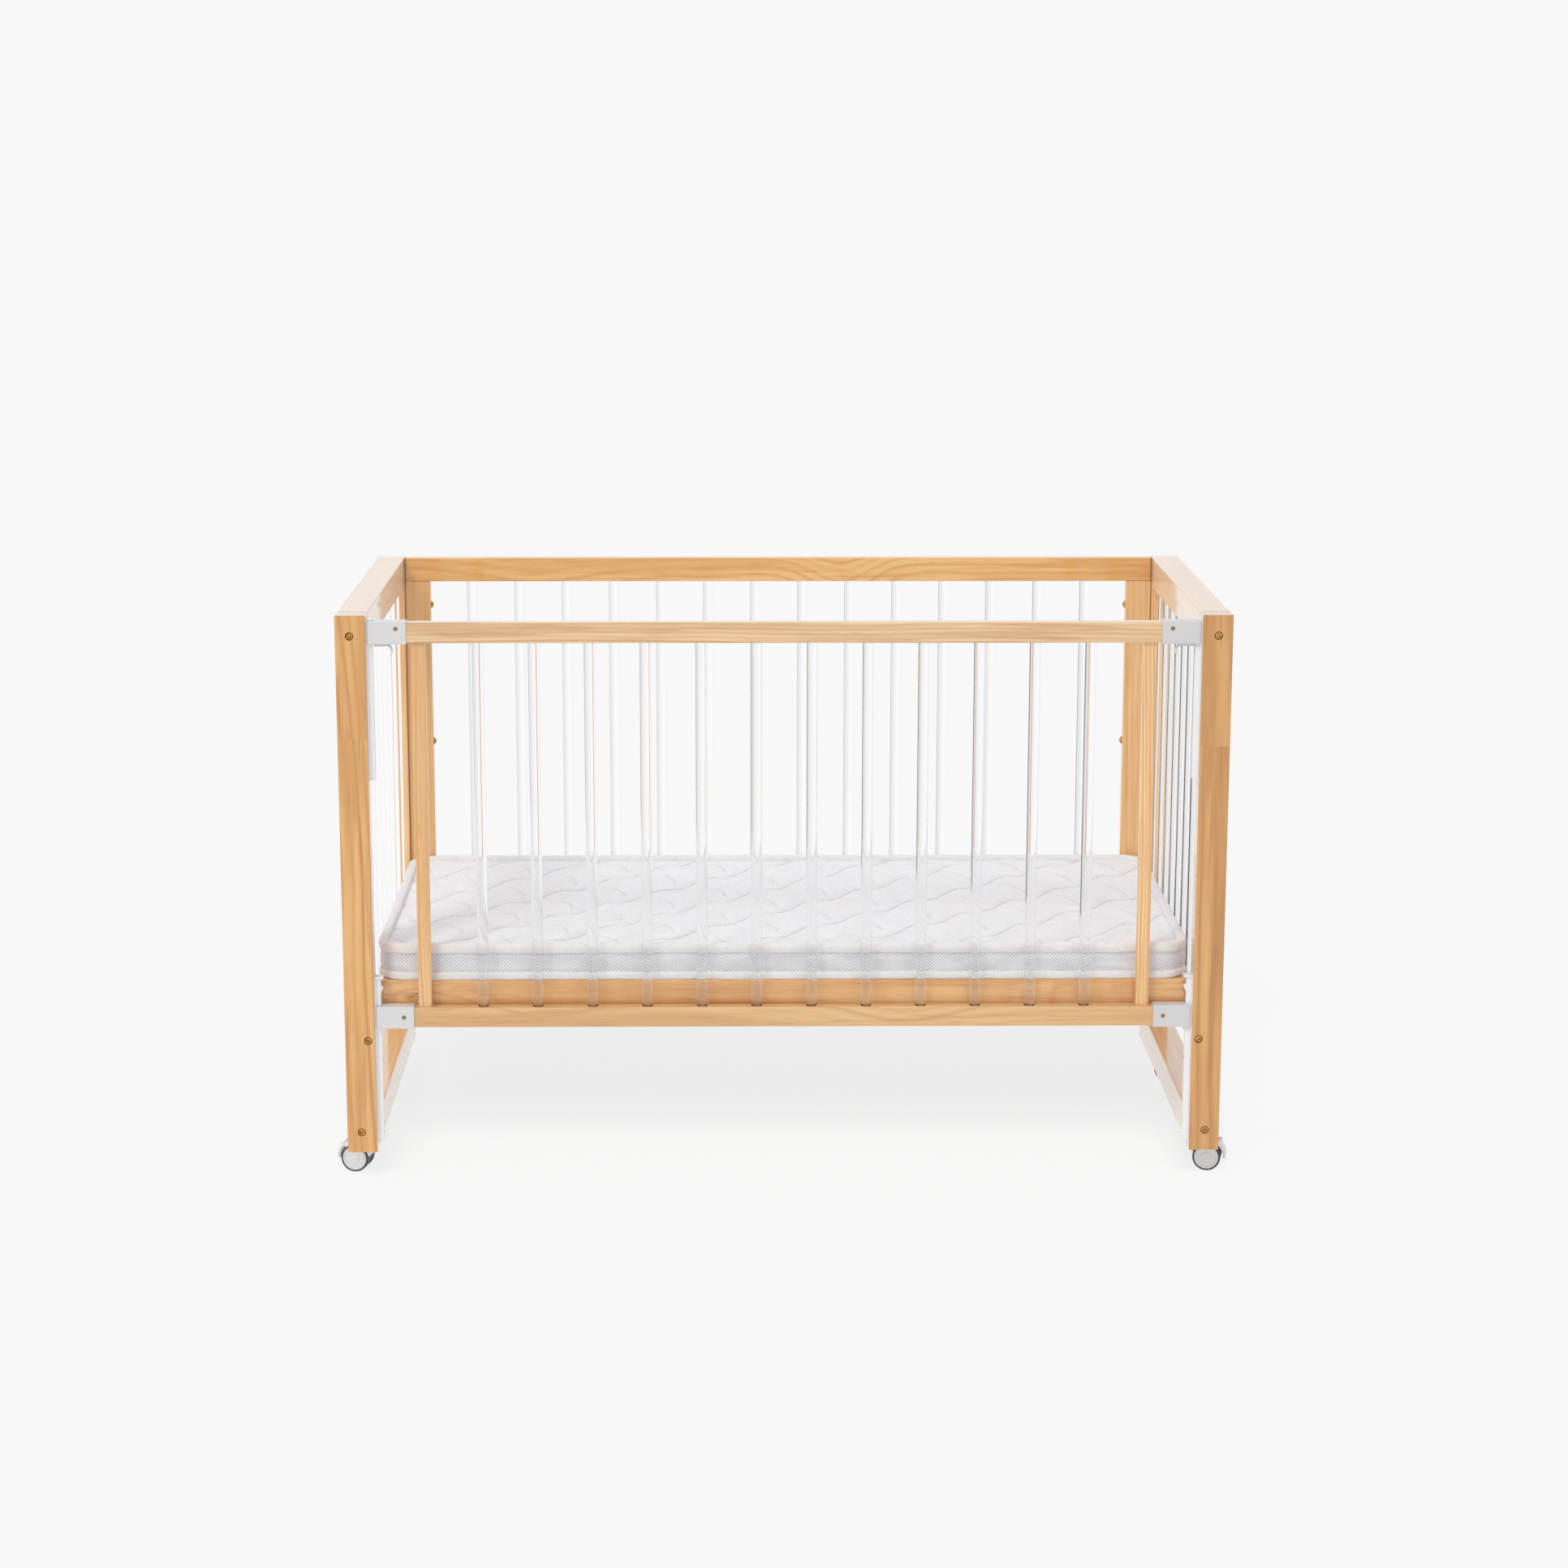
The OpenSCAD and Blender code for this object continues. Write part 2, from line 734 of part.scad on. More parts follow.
// Steel angles on the inner faces of the mid rails carry the base.
module base_angles() {
    color(steel) raised() both_sides() difference() {
        union() {
            translate([in_x - angle_leg, -angle_l / 2, base_z - angle_t])
                cube([angle_leg, angle_l, angle_t]);
            translate([in_x - angle_t, -angle_l / 2, base_z - angle_leg - 1])
                cube([angle_t, angle_l, angle_leg]);
        }
        for (y = angle_screw_row()) translate([in_x - angle_t, y, mid_z + 9]) screw_x(16, fit);
        for (y = angle_lift_row()) translate([base_hl - base_t / 2, y, base_z - angle_t])
            rotate([0, -90, 0]) screw_x(20, fit);
    }
}

module base_screws() {
    color(zinc) raised() {
        both_sides() {
            for (y = angle_screw_row()) translate([in_x - angle_t, y, mid_z + 9])
                slotted_screw_x(16);
            for (y = angle_lift_row()) translate([base_hl - base_t / 2, y, base_z - angle_t])
                rotate([0, -90, 0]) slotted_screw_x(20);
        }
        at_slat_screws() slotted_screw_x(slat_screw_l);
    }
}

module mattress() {
    color(quilt) raised() translate([0, 0, base_top])
        linear_extrude(mattress_h) rounded_rect(2 * mattress_hl, 2 * mattress_hw, mattress_r);
}

// ---- casters ----

// Places a caster that trails outwards, with its swivel axis at x = y = 0 before.
module at_caster(side, end) {
    translate([side * caster_x, end * caster_y, 0])
        rotate([0, 0, (side > 0 ? 0 : 180) - caster_turn]) children();
}

// A profile in the wheel's plane, drawn about the axle and made w thick across.
module wheel_plane(w) {
    translate([trail, w / 2, wheel_r]) rotate([90, 0, 0]) linear_extrude(w) children();
}

module caster_stems() {
    color(steel) for (side = [-1, 1], end = [-1, 1])
        translate([side * caster_x, end * caster_y, 0]) {
            translate([0, 0, caster_h - collar_h]) cylinder(d = 14, h = collar_h);
            translate([0, 0, caster_h - eps]) cylinder(d = stem_top_d, h = 20);
            translate([0, 0, wheel_r + 10]) cylinder(d = stem_d, h = caster_h - wheel_r - 10);
        }
}

module pedal_ears() {
    gap = 0.3;
    ear_w = 2.6;
    pin = pedal_pivot_r * [cos(pedal_pivot_a), sin(pedal_pivot_a)];
    for (y = [-1, 1]) translate([0, y * (pedal_w / 2 + gap + ear_w / 2), 0]) wheel_plane(ear_w)
        difference() {
            union() {
                arc_band(hood_in, pedal_pivot_r, pedal_pivot_a + 2, pedal_pivot_a + 18);
                translate(pin) circle(3.2);
            }
            translate(pin) circle(d = pedal_pin_d + 2 * run_fit);
        }
}

// The housing: a web between the wheels, a hood over their treads and the stem's socket.
module caster_housing(side, end) {
    braked = end < 0;
    hood_start = braked ? pedal_pivot_a + 4 : 14;
    socket_top = caster_h - collar_h - 0.5;
    color(white) at_caster(side, end) difference() {
        union() {
            wheel_plane(caster_w) arc_band(hood_in, hood_out, hood_start, 168);
            wheel_plane(web_w) arc_band(0.1, hood_in + 0.5, 60, 168);
            wheel_plane(web_w) circle(8);
            translate([0, 0, wheel_r + 8]) intersection() {
                cylinder(d = 15, h = socket_top - wheel_r - 8);
                union() {
                    translate([-10, -web_w / 2, 0]) cube([20, web_w, 20]);
                    translate([-10, -10, 12]) cube([20, 20, 20]);
                }
            }
            if (braked) pedal_ears();
        }
        for (y = [-1, 1]) translate([0, y * (web_w / 2 + caster_w / 4), 0])
            wheel_plane(caster_w / 2) circle(hood_in - eps);
        wheel_plane(web_w + 2) circle(d = axle_d + 2 * run_fit);
        translate([0, 0, wheel_r + 9.5]) cylinder(d = stem_d + 2 * run_fit, h = 30);
    }
}

// Revolves a half profile, given as [radius, y] points, about the axle.
module wheel_turned(points) {
    for (y = [-1, 1]) translate([trail, 0, wheel_r]) rotate([y * -90, 0, 0])
        rotate_extrude() polygon(points);
}

module caster_wheels(side, end) {
    r = wheel_r - tread_t - 0.05;
    face = wheel_in + wheel_w;
    bore = axle_d / 2 + 0.02;
    color(white) at_caster(side, end) {
        wheel_turned([
            [bore, wheel_in], [r, wheel_in], [r, face - 0.6], [r - 0.6, face], [r - 2.4, face],
            [r - 3.2, face - 1.2], [8, face - 1.6], [7, face - 0.5], [0, face - 0.3],
            [0, face - 3], [bore, face - 3]
        ]);
        translate([trail, -face + 3.2, wheel_r]) rod_y(axle_d, 2 * face - 6.4);
    }
}

module caster_treads(side, end) {
    r0 = wheel_r - tread_t;
    a = wheel_in;
    b = wheel_in + wheel_w;
    color(dark) at_caster(side, end) wheel_turned([
        [r0, a], [wheel_r - 1.2, a], [wheel_r - 0.3, a + 0.5], [wheel_r, a + 1.6],
        [wheel_r, b - 1.6], [wheel_r - 0.3, b - 0.5], [wheel_r - 1.2, b], [r0, b]
    ]);
}

// The pedal swings in on two short pins of its own and presses on the treads.
module brake_pedal(side) {
    pin = pedal_pivot_r * [cos(pedal_pivot_a), sin(pedal_pivot_a)];
    color(white) at_caster(side, -1) {
        wheel_plane(pedal_w) {
            arc_band(pedal_pivot_r - 3.3, pedal_pivot_r + 0.6, -4, pedal_pivot_a);
            translate(pin) circle(2.4);
        }
        wheel_plane(pedal_w + 5) translate(pin) circle(d = pedal_pin_d);
    }
}

post_front(-1);  // post_front_left
post_front(1);  // post_front_right
post_rear(-1);  // post_rear_left
post_rear(1);  // post_rear_right
end_top_rail(-1);  // end_top_rail_left
end_top_rail(1);  // end_top_rail_right
end_mid_rail(-1);  // end_mid_rail_left
end_mid_rail(1);  // end_mid_rail_right
end_bottom_rail(-1);  // end_bottom_rail_left
end_bottom_rail(1);  // end_bottom_rail_right
end_rod_row(-1);  // end_rods_left
end_rod_row(1);  // end_rods_right
back_top_rail();
back_bottom_rail();
back_stiles();
back_rods();
track_upper(-1);  // track_upper_left
track_upper(1);  // track_upper_right
track_lower(-1);  // track_lower_left
track_lower(1);  // track_lower_right
track_screws();
base_long_boards();
base_end_boards();
base_cleats();
base_slats();
base_angles();
base_screws();
post_bolts();
barrel_nuts();
back_bolts();
post_inserts();
caster_stems();
drop_top_rail();
drop_bottom_rail();
drop_slats();
drop_rods();
bracket_top(-1);  // bracket_top_left
bracket_top(1);  // bracket_top_right
bracket_bottom(-1);  // bracket_bottom_left
bracket_bottom(1);  // bracket_bottom_right
bracket_screws();
latch_trigger(-1);  // latch_trigger_left
latch_trigger(1);  // latch_trigger_right
latch_spring(-1);  // latch_spring_left
latch_spring(1);  // latch_spring_right
mattress();
caster_housing(-1, -1);  // caster_housing_front_left
caster_housing(1, -1);  // caster_housing_front_right
caster_housing(-1, 1);  // caster_housing_rear_left
caster_housing(1, 1);  // caster_housing_rear_right
caster_wheels(-1, -1);  // caster_wheels_front_left
caster_wheels(1, -1);  // caster_wheels_front_right
caster_wheels(-1, 1);  // caster_wheels_rear_left
caster_wheels(1, 1);  // caster_wheels_rear_right
caster_treads(-1, -1);  // caster_treads_front_left
caster_treads(1, -1);  // caster_treads_front_right
caster_treads(-1, 1);  // caster_treads_rear_left
caster_treads(1, 1);  // caster_treads_rear_right
brake_pedal(-1);  // brake_pedal_left
brake_pedal(1);  // brake_pedal_right
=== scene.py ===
import math

import bpy
import numpy as np
from mathutils import Matrix, Vector


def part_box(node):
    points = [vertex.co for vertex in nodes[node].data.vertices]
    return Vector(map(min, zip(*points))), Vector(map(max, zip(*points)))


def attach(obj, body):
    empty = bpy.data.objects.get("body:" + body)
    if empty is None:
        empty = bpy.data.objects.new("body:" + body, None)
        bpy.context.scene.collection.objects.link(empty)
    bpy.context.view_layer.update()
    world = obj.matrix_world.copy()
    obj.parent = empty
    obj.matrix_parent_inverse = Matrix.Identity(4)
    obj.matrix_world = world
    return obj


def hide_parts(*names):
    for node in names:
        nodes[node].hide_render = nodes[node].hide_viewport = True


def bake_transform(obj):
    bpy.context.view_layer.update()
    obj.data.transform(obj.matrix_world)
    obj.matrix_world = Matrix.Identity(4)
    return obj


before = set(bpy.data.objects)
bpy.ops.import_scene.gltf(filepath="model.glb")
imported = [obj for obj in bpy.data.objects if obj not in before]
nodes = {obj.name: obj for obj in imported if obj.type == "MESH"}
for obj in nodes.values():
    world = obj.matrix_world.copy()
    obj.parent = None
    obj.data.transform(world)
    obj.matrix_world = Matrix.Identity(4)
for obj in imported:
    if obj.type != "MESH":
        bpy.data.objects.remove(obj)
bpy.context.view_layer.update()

PAPER = 0.939  # the backdrop's linear white


# ---- camera ------------------------------------------------------------------


def make_camera():
    """A long lens a little above the rails, looking slightly down from the front."""
    place = (-0.0797, -5.3687, 1.5945)
    yaw, pitch, roll = -0.0157, 0.2206, 0.0016
    right0 = Vector((math.cos(yaw), math.sin(yaw), 0))
    level = Vector((-math.sin(yaw), math.cos(yaw), 0))
    forward = level * math.cos(pitch) - Vector((0, 0, math.sin(pitch)))
    up0 = level * math.sin(pitch) + Vector((0, 0, math.cos(pitch)))
    right = right0 * math.cos(roll) + up0 * math.sin(roll)
    up = up0 * math.cos(roll) - right0 * math.sin(roll)
    data = bpy.data.cameras.new("camera")
    data.lens, data.sensor_width = 81.41, 36
    data.shift_y = 0.0608
    data.clip_end = 300
    camera = bpy.data.objects.new("camera", data)
    bpy.context.scene.collection.objects.link(camera)
    turn = Matrix((right, up, -forward)).transposed().to_4x4()
    camera.matrix_world = Matrix.Translation(place) @ turn
    bpy.context.scene.camera = camera


# ---- node trees --------------------------------------------------------------


def srgb(r, g, b):
    """A linear colour from 0-255 values."""
    return tuple(
        c / 12.92 if c <= 0.04045 else ((c + 0.055) / 1.055) ** 2.4
        for c in (r / 255, g / 255, b / 255)
    )


class Nodes:
    """A node tree with short ways to add nodes. Values may be numbers, colours or sockets."""

    def __init__(self, owner):
        owner.use_nodes = True
        self.tree = owner.node_tree
        self.tree.nodes.clear()

    def put(self, socket, value):
        """Sets a socket to a value, or links it to another socket."""
        if isinstance(value, bpy.types.NodeSocket):
            self.tree.links.new(value, socket)
        elif socket.type == "RGBA" and len(value) == 3:
            socket.default_value = (*value, 1)
        else:
            socket.default_value = value

    def math(self, operation, a, b=0.0, c=0.0):
        n = self.tree.nodes.new("ShaderNodeMath")
        n.operation = operation
        for socket, value in zip(n.inputs, (a, b, c)):
            self.put(socket, value)
        return n.outputs[0]

    def vec(self, operation, a, b=(0, 0, 0)):
        n = self.tree.nodes.new("ShaderNodeVectorMath")
        n.operation = operation
        self.put(n.inputs[0], a)
        self.put(n.inputs[1], b)
        return n.outputs["Value" if operation in ("LENGTH", "DISTANCE", "DOT_PRODUCT") else "Vector"]

    def xyz(self, x, y, z):
        n = self.tree.nodes.new("ShaderNodeCombineXYZ")
        for socket, value in zip(n.inputs, (x, y, z)):
            self.put(socket, value)
        return n.outputs[0]

    def stretch(self, parts, factors):
        """The vector of three parts, each times its factor."""
        return self.xyz(*(self.math("MULTIPLY", part, factor) for part, factor in zip(parts, factors)))

    def parts(self, vector):
        n = self.tree.nodes.new("ShaderNodeSeparateXYZ")
        self.put(n.inputs[0], vector)
        return n.outputs[0], n.outputs[1], n.outputs[2]

    def place(self):
        """The point in the piece's own frame, which is the row frame at rest."""
        return self.tree.nodes.new("ShaderNodeTexCoord").outputs["Object"]

    def layer(self):
        """The cloth's own length and height, in metres."""
        n = self.tree.nodes.new("ShaderNodeUVMap")
        n.uv_map = "Sewn"
        return n.outputs[0]

    def noise(self, vector, scale=1.0, detail=2.0, roughness=0.5):
        n = self.tree.nodes.new("ShaderNodeTexNoise")
        self.put(n.inputs["Vector"], vector)
        self.put(n.inputs["Scale"], scale)
        self.put(n.inputs["Detail"], detail)
        self.put(n.inputs["Roughness"], roughness)
        return n.outputs[0]

    def cells(self, vector, scale):
        n = self.tree.nodes.new("ShaderNodeTexVoronoi")
        self.put(n.inputs["Vector"], vector)
        self.put(n.inputs["Scale"], scale)
        return n.outputs["Distance"]

    def chance(self, value):
        """Three random numbers that hold for each whole value."""
        n = self.tree.nodes.new("ShaderNodeTexWhiteNoise")
        n.noise_dimensions = "1D"
        self.put(n.inputs["W"], value)
        return n.outputs["Color"]

    def ramp(self, value, stops):
        """The value carried through grey stops (place, level), eased between them."""
        n = self.tree.nodes.new("ShaderNodeValToRGB")
        n.color_ramp.interpolation = "EASE"
        while len(n.color_ramp.elements) < len(stops):
            n.color_ramp.elements.new(0.5)
        for element, (at, level) in zip(n.color_ramp.elements, stops):
            element.position = at
            element.color = (level, level, level, 1)
        self.put(n.inputs[0], value)
        return n.outputs[0]

    def span(self, value, low, high, to_low=0.0, to_high=1.0):
        """The value carried smoothly from low..high to to_low..to_high, and held outside."""
        n = self.tree.nodes.new("ShaderNodeMapRange")
        n.interpolation_type = "SMOOTHSTEP"
        for socket, v in zip(n.inputs, (value, low, high, to_low, to_high)):
            self.put(socket, v)
        return n.outputs[0]

    def mix(self, share, a, b, blend="MIX"):
        n = self.tree.nodes.new("ShaderNodeMix")
        n.data_type, n.blend_type = "RGBA", blend
        self.put(n.inputs[0], share)
        self.put(n.inputs[6], a)
        self.put(n.inputs[7], b)
        return n.outputs[2]

    def blend(self, share, a, b):
        """The number that lies the share of the way from a to b."""
        n = self.tree.nodes.new("ShaderNodeMix")
        self.put(n.inputs[0], share)
        self.put(n.inputs[2], a)
        self.put(n.inputs[3], b)
        return n.outputs[0]

    def bell(self, value, peak, spread):
        """1 where the value is at its peak, and falling smoothly to 0 on both sides."""
        off = self.math("DIVIDE", self.math("SUBTRACT", value, peak), spread)
        return self.math("EXPONENT", self.math("MULTIPLY", self.math("MULTIPLY", off, off), -1.0))

    def grey(self, value, low, high):
        """A grey colour that goes from low to high as the value goes from 0 to 1."""
        g = self.math("MULTIPLY_ADD", value, high - low, low)
        return self.xyz(g, g, g)

    def cover(self, share, under, over, out):
        """Sends a mix of two shader nodes to the output."""
        n = self.tree.nodes.new("ShaderNodeMixShader")
        self.put(n.inputs[0], share)
        self.put(n.inputs[1], under.outputs[0])
        self.put(n.inputs[2], over.outputs[0])
        self.put(out.inputs["Surface"], n.outputs[0])


class Shade(Nodes):
    """A material with one shader, or with a second one laid over it."""

    def __init__(self, name, shader="ShaderNodeBsdfPrincipled"):
        self.mat = bpy.data.materials.new(name)
        super().__init__(self.mat)
        self.out = self.tree.nodes.new("ShaderNodeOutputMaterial")
        self.bsdf = self.tree.nodes.new(shader)
        self.put(self.out.inputs["Surface"], self.bsdf.outputs[0])

    def set(self, **values):
        """Sets the shader's inputs, named with _ for spaces."""
        for name, value in values.items():
            self.put(self.bsdf.inputs[name.replace("_", " ")], value)

    def bump(self, height, distance, strength=1.0):
        n = self.tree.nodes.new("ShaderNodeBump")
        self.put(n.inputs["Strength"], strength)
        self.put(n.inputs["Distance"], distance)
        self.put(n.inputs["Height"], height)
        self.put(self.bsdf.inputs["Normal"], n.outputs[0])


# ---- materials ---------------------------------------------------------------

KNOT_BROWN, JOINT_SHADE_BROWN = (112, 70, 38), (104, 62, 40)
JOINT_DARK, JOINT_FADE = 0.0006, 0.0019  # how far from a joint its painted gap shade is darkest, and where it ends


def own_stick(s, axes, along, centre, seed, split, cut):
    """How far the point lies from its stick's middle, both ways, and that stick's three random numbers."""
    which = seed
    if split:
        which = s.math("ADD", s.math("FLOOR", s.math("DIVIDE", axes[split[0]], split[1])), seed)
    if cut:
        which = s.math("ADD", s.math("MULTIPLY", s.math("GREATER_THAN", axes[along], cut), 5.0), which)
    luck = s.parts(s.chance(which))
    offsets = []
    for axis, middle_line in zip("xyz", centre):
        if split and split[0] == axis:  # measured from each stick's own cell
            offsets.append(s.math("WRAP", axes[axis], split[1], 0.0))
        elif axis != along:
            offsets.append(s.math("SUBTRACT", axes[axis], middle_line))
    return *offsets, luck


def pith_distance(s, u, v, w, luck, pith, lean):
    """How far the point lies from the log's pith, which leans along the stick."""
    pu = s.math("MULTIPLY_ADD", luck[0], 0.05, pith[0])
    pv = s.math("MULTIPLY_ADD", luck[1], 0.05, pith[1])
    du = s.math("ADD", s.math("ADD", u, pu), s.math("MULTIPLY", w, lean[0]))
    dv = s.math("ADD", s.math("ADD", v, pv), s.math("MULTIPLY", w, lean[1]))
    return s.math("SQRT", s.math("ADD", s.math("MULTIPLY", du, du), s.math("MULTIPLY", dv, dv)))


def add_knots(s, ring, point, along, knots, ripple):
    """The rings pushed outward round each knot, and how dark the knots are."""
    dark = 0.0
    squeeze = tuple(0.45 if a == along else 1.0 for a in "xyz")
    for x, y, z, radius in knots:
        d = s.vec("LENGTH", s.vec("MULTIPLY", s.vec("SUBTRACT", point, (x, y, z)), squeeze))
        fall = s.math("EXPONENT", s.math("MULTIPLY", s.math("DIVIDE", d, radius * 7.0), -1.0))
        ring = s.math("ADD", ring, s.math("MULTIPLY", fall, radius * 6.0))
        rough = s.math("ADD", d, s.math("MULTIPLY", ripple, radius * 2.0))
        dark = s.math("MAXIMUM", dark, s.span(rough, radius, radius * 0.2))
    return ring, dark


def late_wood(s, ring, period):
    """How dark the wood is across each year's ring. Some years are darker than others."""
    count = s.math("DIVIDE", ring, period)
    late = s.ramp(
        s.math("FRACT", count),
        ((0.0, 0.30), (0.22, 0.0), (0.50, 0.18), (0.84, 1.0), (0.93, 0.85), (1.0, 0.30)),
    )
    year = s.parts(s.chance(s.math("FLOOR", count)))
    return s.math("MULTIPLY", late, s.math("MULTIPLY_ADD", year[0], 0.75, 0.35))


def joint_shade_line(s, axes, axis, distance):
    """1 in a thin line of painted gap shade beside the joint, on every face but the end that meets the other
    piece.
    """
    off = s.math("ABSOLUTE", s.math("SUBTRACT", s.math("ABSOLUTE", axes[axis]), distance))
    line = s.span(off, JOINT_FADE, JOINT_DARK)
    normal = s.tree.nodes.new("ShaderNodeTexCoord").outputs["Normal"]
    end_on = s.math("ABSOLUTE", s.parts(normal)["xyz".index(axis)])
    return s.math("MULTIPLY", line, s.span(end_on, 0.85, 0.50))


def pine(
    name,
    along,
    centre,
    light=(240, 200, 147),
    dark=(196, 136, 74),
    period=0.0065,
    pith=(0.11, 0.05),
    lean=(0.010, 0.014),
    figure=0.55,
    seed=0.0,
    split=None,
    swell=(),
    knots=(),
    cut=None,
    joint=None,
):
    """Lacquered pine sawn from a log whose pith lies off the piece: rings, fibres, resin streaks and knots.
    along is the grain's axis, and centre a point on the piece's middle line.
    split (axis, pitch) gives each stick of a node its own log.
    cut is a height where two lengths are finger-jointed.
    swell lists (place along, spread, rise) that bulge the rings into a flame, and knots (x, y, z, radius).
    joint (axis, distance) is where the piece meets another, with painted shade of the gap drawn as a dark
    line beside it."""
    s = Shade(name)
    point = s.place()
    axes = dict(zip("xyz", s.parts(point)))
    u, v, luck = own_stick(s, axes, along, centre, seed, split, cut)
    w = axes[along]
    shift = s.stretch(luck, (31.0, 27.0, 43.0))

    def streaks(wide, long, detail=2.0, roughness=0.6):
        """Noise drawn out along the grain, with features about 1/wide across and 1/long along."""
        drawn = s.vec("ADD", s.stretch((u, v, w), (wide, wide, long)), shift)
        return s.noise(drawn, 1.0, detail, roughness)

    wave = s.math("SUBTRACT", streaks(7.0, 1.5, 1.0, 0.5), 0.5)
    ripple = s.math("SUBTRACT", streaks(30.0, 5.0, 2.0, 0.5), 0.5)
    ring = pith_distance(s, u, v, w, luck, pith, lean)
    ring = s.math("ADD", ring, s.math("MULTIPLY", wave, 0.030))
    ring = s.math("ADD", ring, s.math("MULTIPLY", ripple, 0.0035))
    for at, spread, rise in swell:
        ring = s.math("ADD", ring, s.math("MULTIPLY", s.bell(w, at, spread), rise))
    ring, knot = add_knots(s, ring, point, along, knots, ripple)

    late = late_wood(s, ring, period)
    fibre = streaks(520.0, 16.0, 3.0)
    dash = s.span(streaks(300.0, 22.0, 1.0), 0.64, 0.78)
    vein = s.span(streaks(150.0, 5.5), 0.50, 0.74)
    broad = s.span(streaks(34.0, 2.6), 0.38, 0.66)

    colour = s.mix(s.math("MULTIPLY", late, figure), srgb(*light), srgb(*dark))
    amber = srgb(*(0.50 * a + 0.50 * b for a, b in zip(light, dark)))
    colour = s.mix(s.math("MULTIPLY", broad, 0.80), colour, amber)
    colour = s.mix(s.math("MULTIPLY", vein, 0.48), colour, srgb(*dark))
    if split:  # sticks from different boards
        colour = s.mix(s.math("MULTIPLY", luck[0], 0.45), colour, amber)
    tone = s.math("MULTIPLY_ADD", s.math("SUBTRACT", fibre, 0.5), 0.26, 1.0)
    tone = s.math("MULTIPLY", tone, s.math("MULTIPLY_ADD", s.math("SUBTRACT", luck[2], 0.5), 0.06, 1.0))
    tone = s.math("MULTIPLY", tone, s.math("MULTIPLY_ADD", dash, -0.14, 1.0))
    colour = s.mix(1.0, colour, s.xyz(tone, tone, tone), "MULTIPLY")
    if knots:  # with dark cracks along the grain near the first one
        close = s.bell(w, knots[0]["xyz".index(along)], 0.10)
        crack = s.math("MULTIPLY", s.span(streaks(260.0, 15.0, 2.0), 0.58, 0.70), close)
        colour = s.mix(s.math("MULTIPLY", s.math("MAXIMUM", knot, crack), 0.62), colour, srgb(*KNOT_BROWN))
    relief = s.math("MULTIPLY_ADD", late, 0.15, fibre)
    # painted shade: the gap at the joint is drawn as a dark brown line, over a shallow groove in the bump
    if joint:
        line = joint_shade_line(s, axes, *joint)
        colour = s.mix(s.math("MULTIPLY", line, 0.80), colour, srgb(*JOINT_SHADE_BROWN))
        relief = s.math("MULTIPLY_ADD", line, -6.0, relief)
    s.set(
        Base_Color=colour,
        Roughness=s.math("MULTIPLY_ADD", late, -0.05, s.math("MULTIPLY_ADD", fibre, 0.12, 0.20)),
        IOR=1.5,
        Coat_Weight=1.0,
        Coat_Roughness=0.06,
        Coat_IOR=1.62,
        Sheen_Weight=0.45,
        Sheen_Roughness=0.30,
    )
    s.bump(relief, 0.00012, 0.35)
    return s.mat


def acrylic(name, passed):
    """Cast clear rod: faint drawing waves and hairline scuffs.
    passed is the share of a lamp's light that each surface lets through."""
    s = Shade(name)
    parts = s.parts(s.place())
    scuff = s.noise(s.stretch(parts, (420.0, 420.0, 60.0)), 1.0, 3.0, 0.7)
    wave = s.noise(s.stretch(parts, (45.0, 45.0, 5.0)), 1.0, 1.0)
    s.set(
        Base_Color=(0.985, 0.985, 0.985),
        Roughness=s.span(scuff, 0.55, 0.90, 0.0, 0.05),
        IOR=1.49,
        Transmission_Weight=1.0,
    )
    s.bump(wave, 0.0010, 0.08)
    clear = s.tree.nodes.new("ShaderNodeBsdfTransparent")
    clear.inputs[0].default_value = (passed, passed - 0.01, passed - 0.02, 1)
    path = s.tree.nodes.new("ShaderNodeLightPath")
    s.cover(path.outputs["Is Shadow Ray"], s.bsdf, clear, s.out)
    return s.mat


def plastic(name, colour, roughness=0.36):
    """Moulded plastic: a fine spark-eroded skin, slow flow marks and scuffs."""
    s = Shade(name)
    point = s.place()
    skin = s.noise(point, 900.0, 3.0, 0.65)
    flow = s.noise(point, 28.0, 2.0)
    scuff = s.span(s.noise(s.vec("MULTIPLY", point, (1.0, 1.0, 3.0)), 160.0, 4.0, 0.7), 0.55, 0.75)
    shade = s.math("MULTIPLY_ADD", s.math("SUBTRACT", flow, 0.5), 0.08, 1.0)
    shade = s.math("MULTIPLY_ADD", scuff, -0.02, shade)
    s.set(
        Base_Color=s.mix(1.0, srgb(*colour), s.xyz(shade, shade, shade), "MULTIPLY"),
        Roughness=s.math("MULTIPLY_ADD", scuff, 0.14, s.math("MULTIPLY_ADD", flow, 0.1, roughness - 0.05)),
        IOR=1.49,
    )
    s.bump(skin, 0.00006, 0.5)
    return s.mat


def metal(name, colour, stain, roughness):
    """Plated metal with blotches and fine drawn scratches."""
    s = Shade(name)
    point = s.place()
    blotch = s.noise(point, 260.0, 3.0, 0.6)
    scratch = s.noise(s.vec("MULTIPLY", point, (900.0, 900.0, 120.0)), 1.0, 3.0, 0.7)
    s.set(
        Base_Color=s.mix(s.span(blotch, 0.42, 0.66), srgb(*colour), srgb(*stain)),
        Metallic=1.0,
        Roughness=s.math("MULTIPLY_ADD", blotch, 0.25, roughness - 0.1),
    )
    s.bump(scratch, 0.00005, 0.5)
    return s.mat


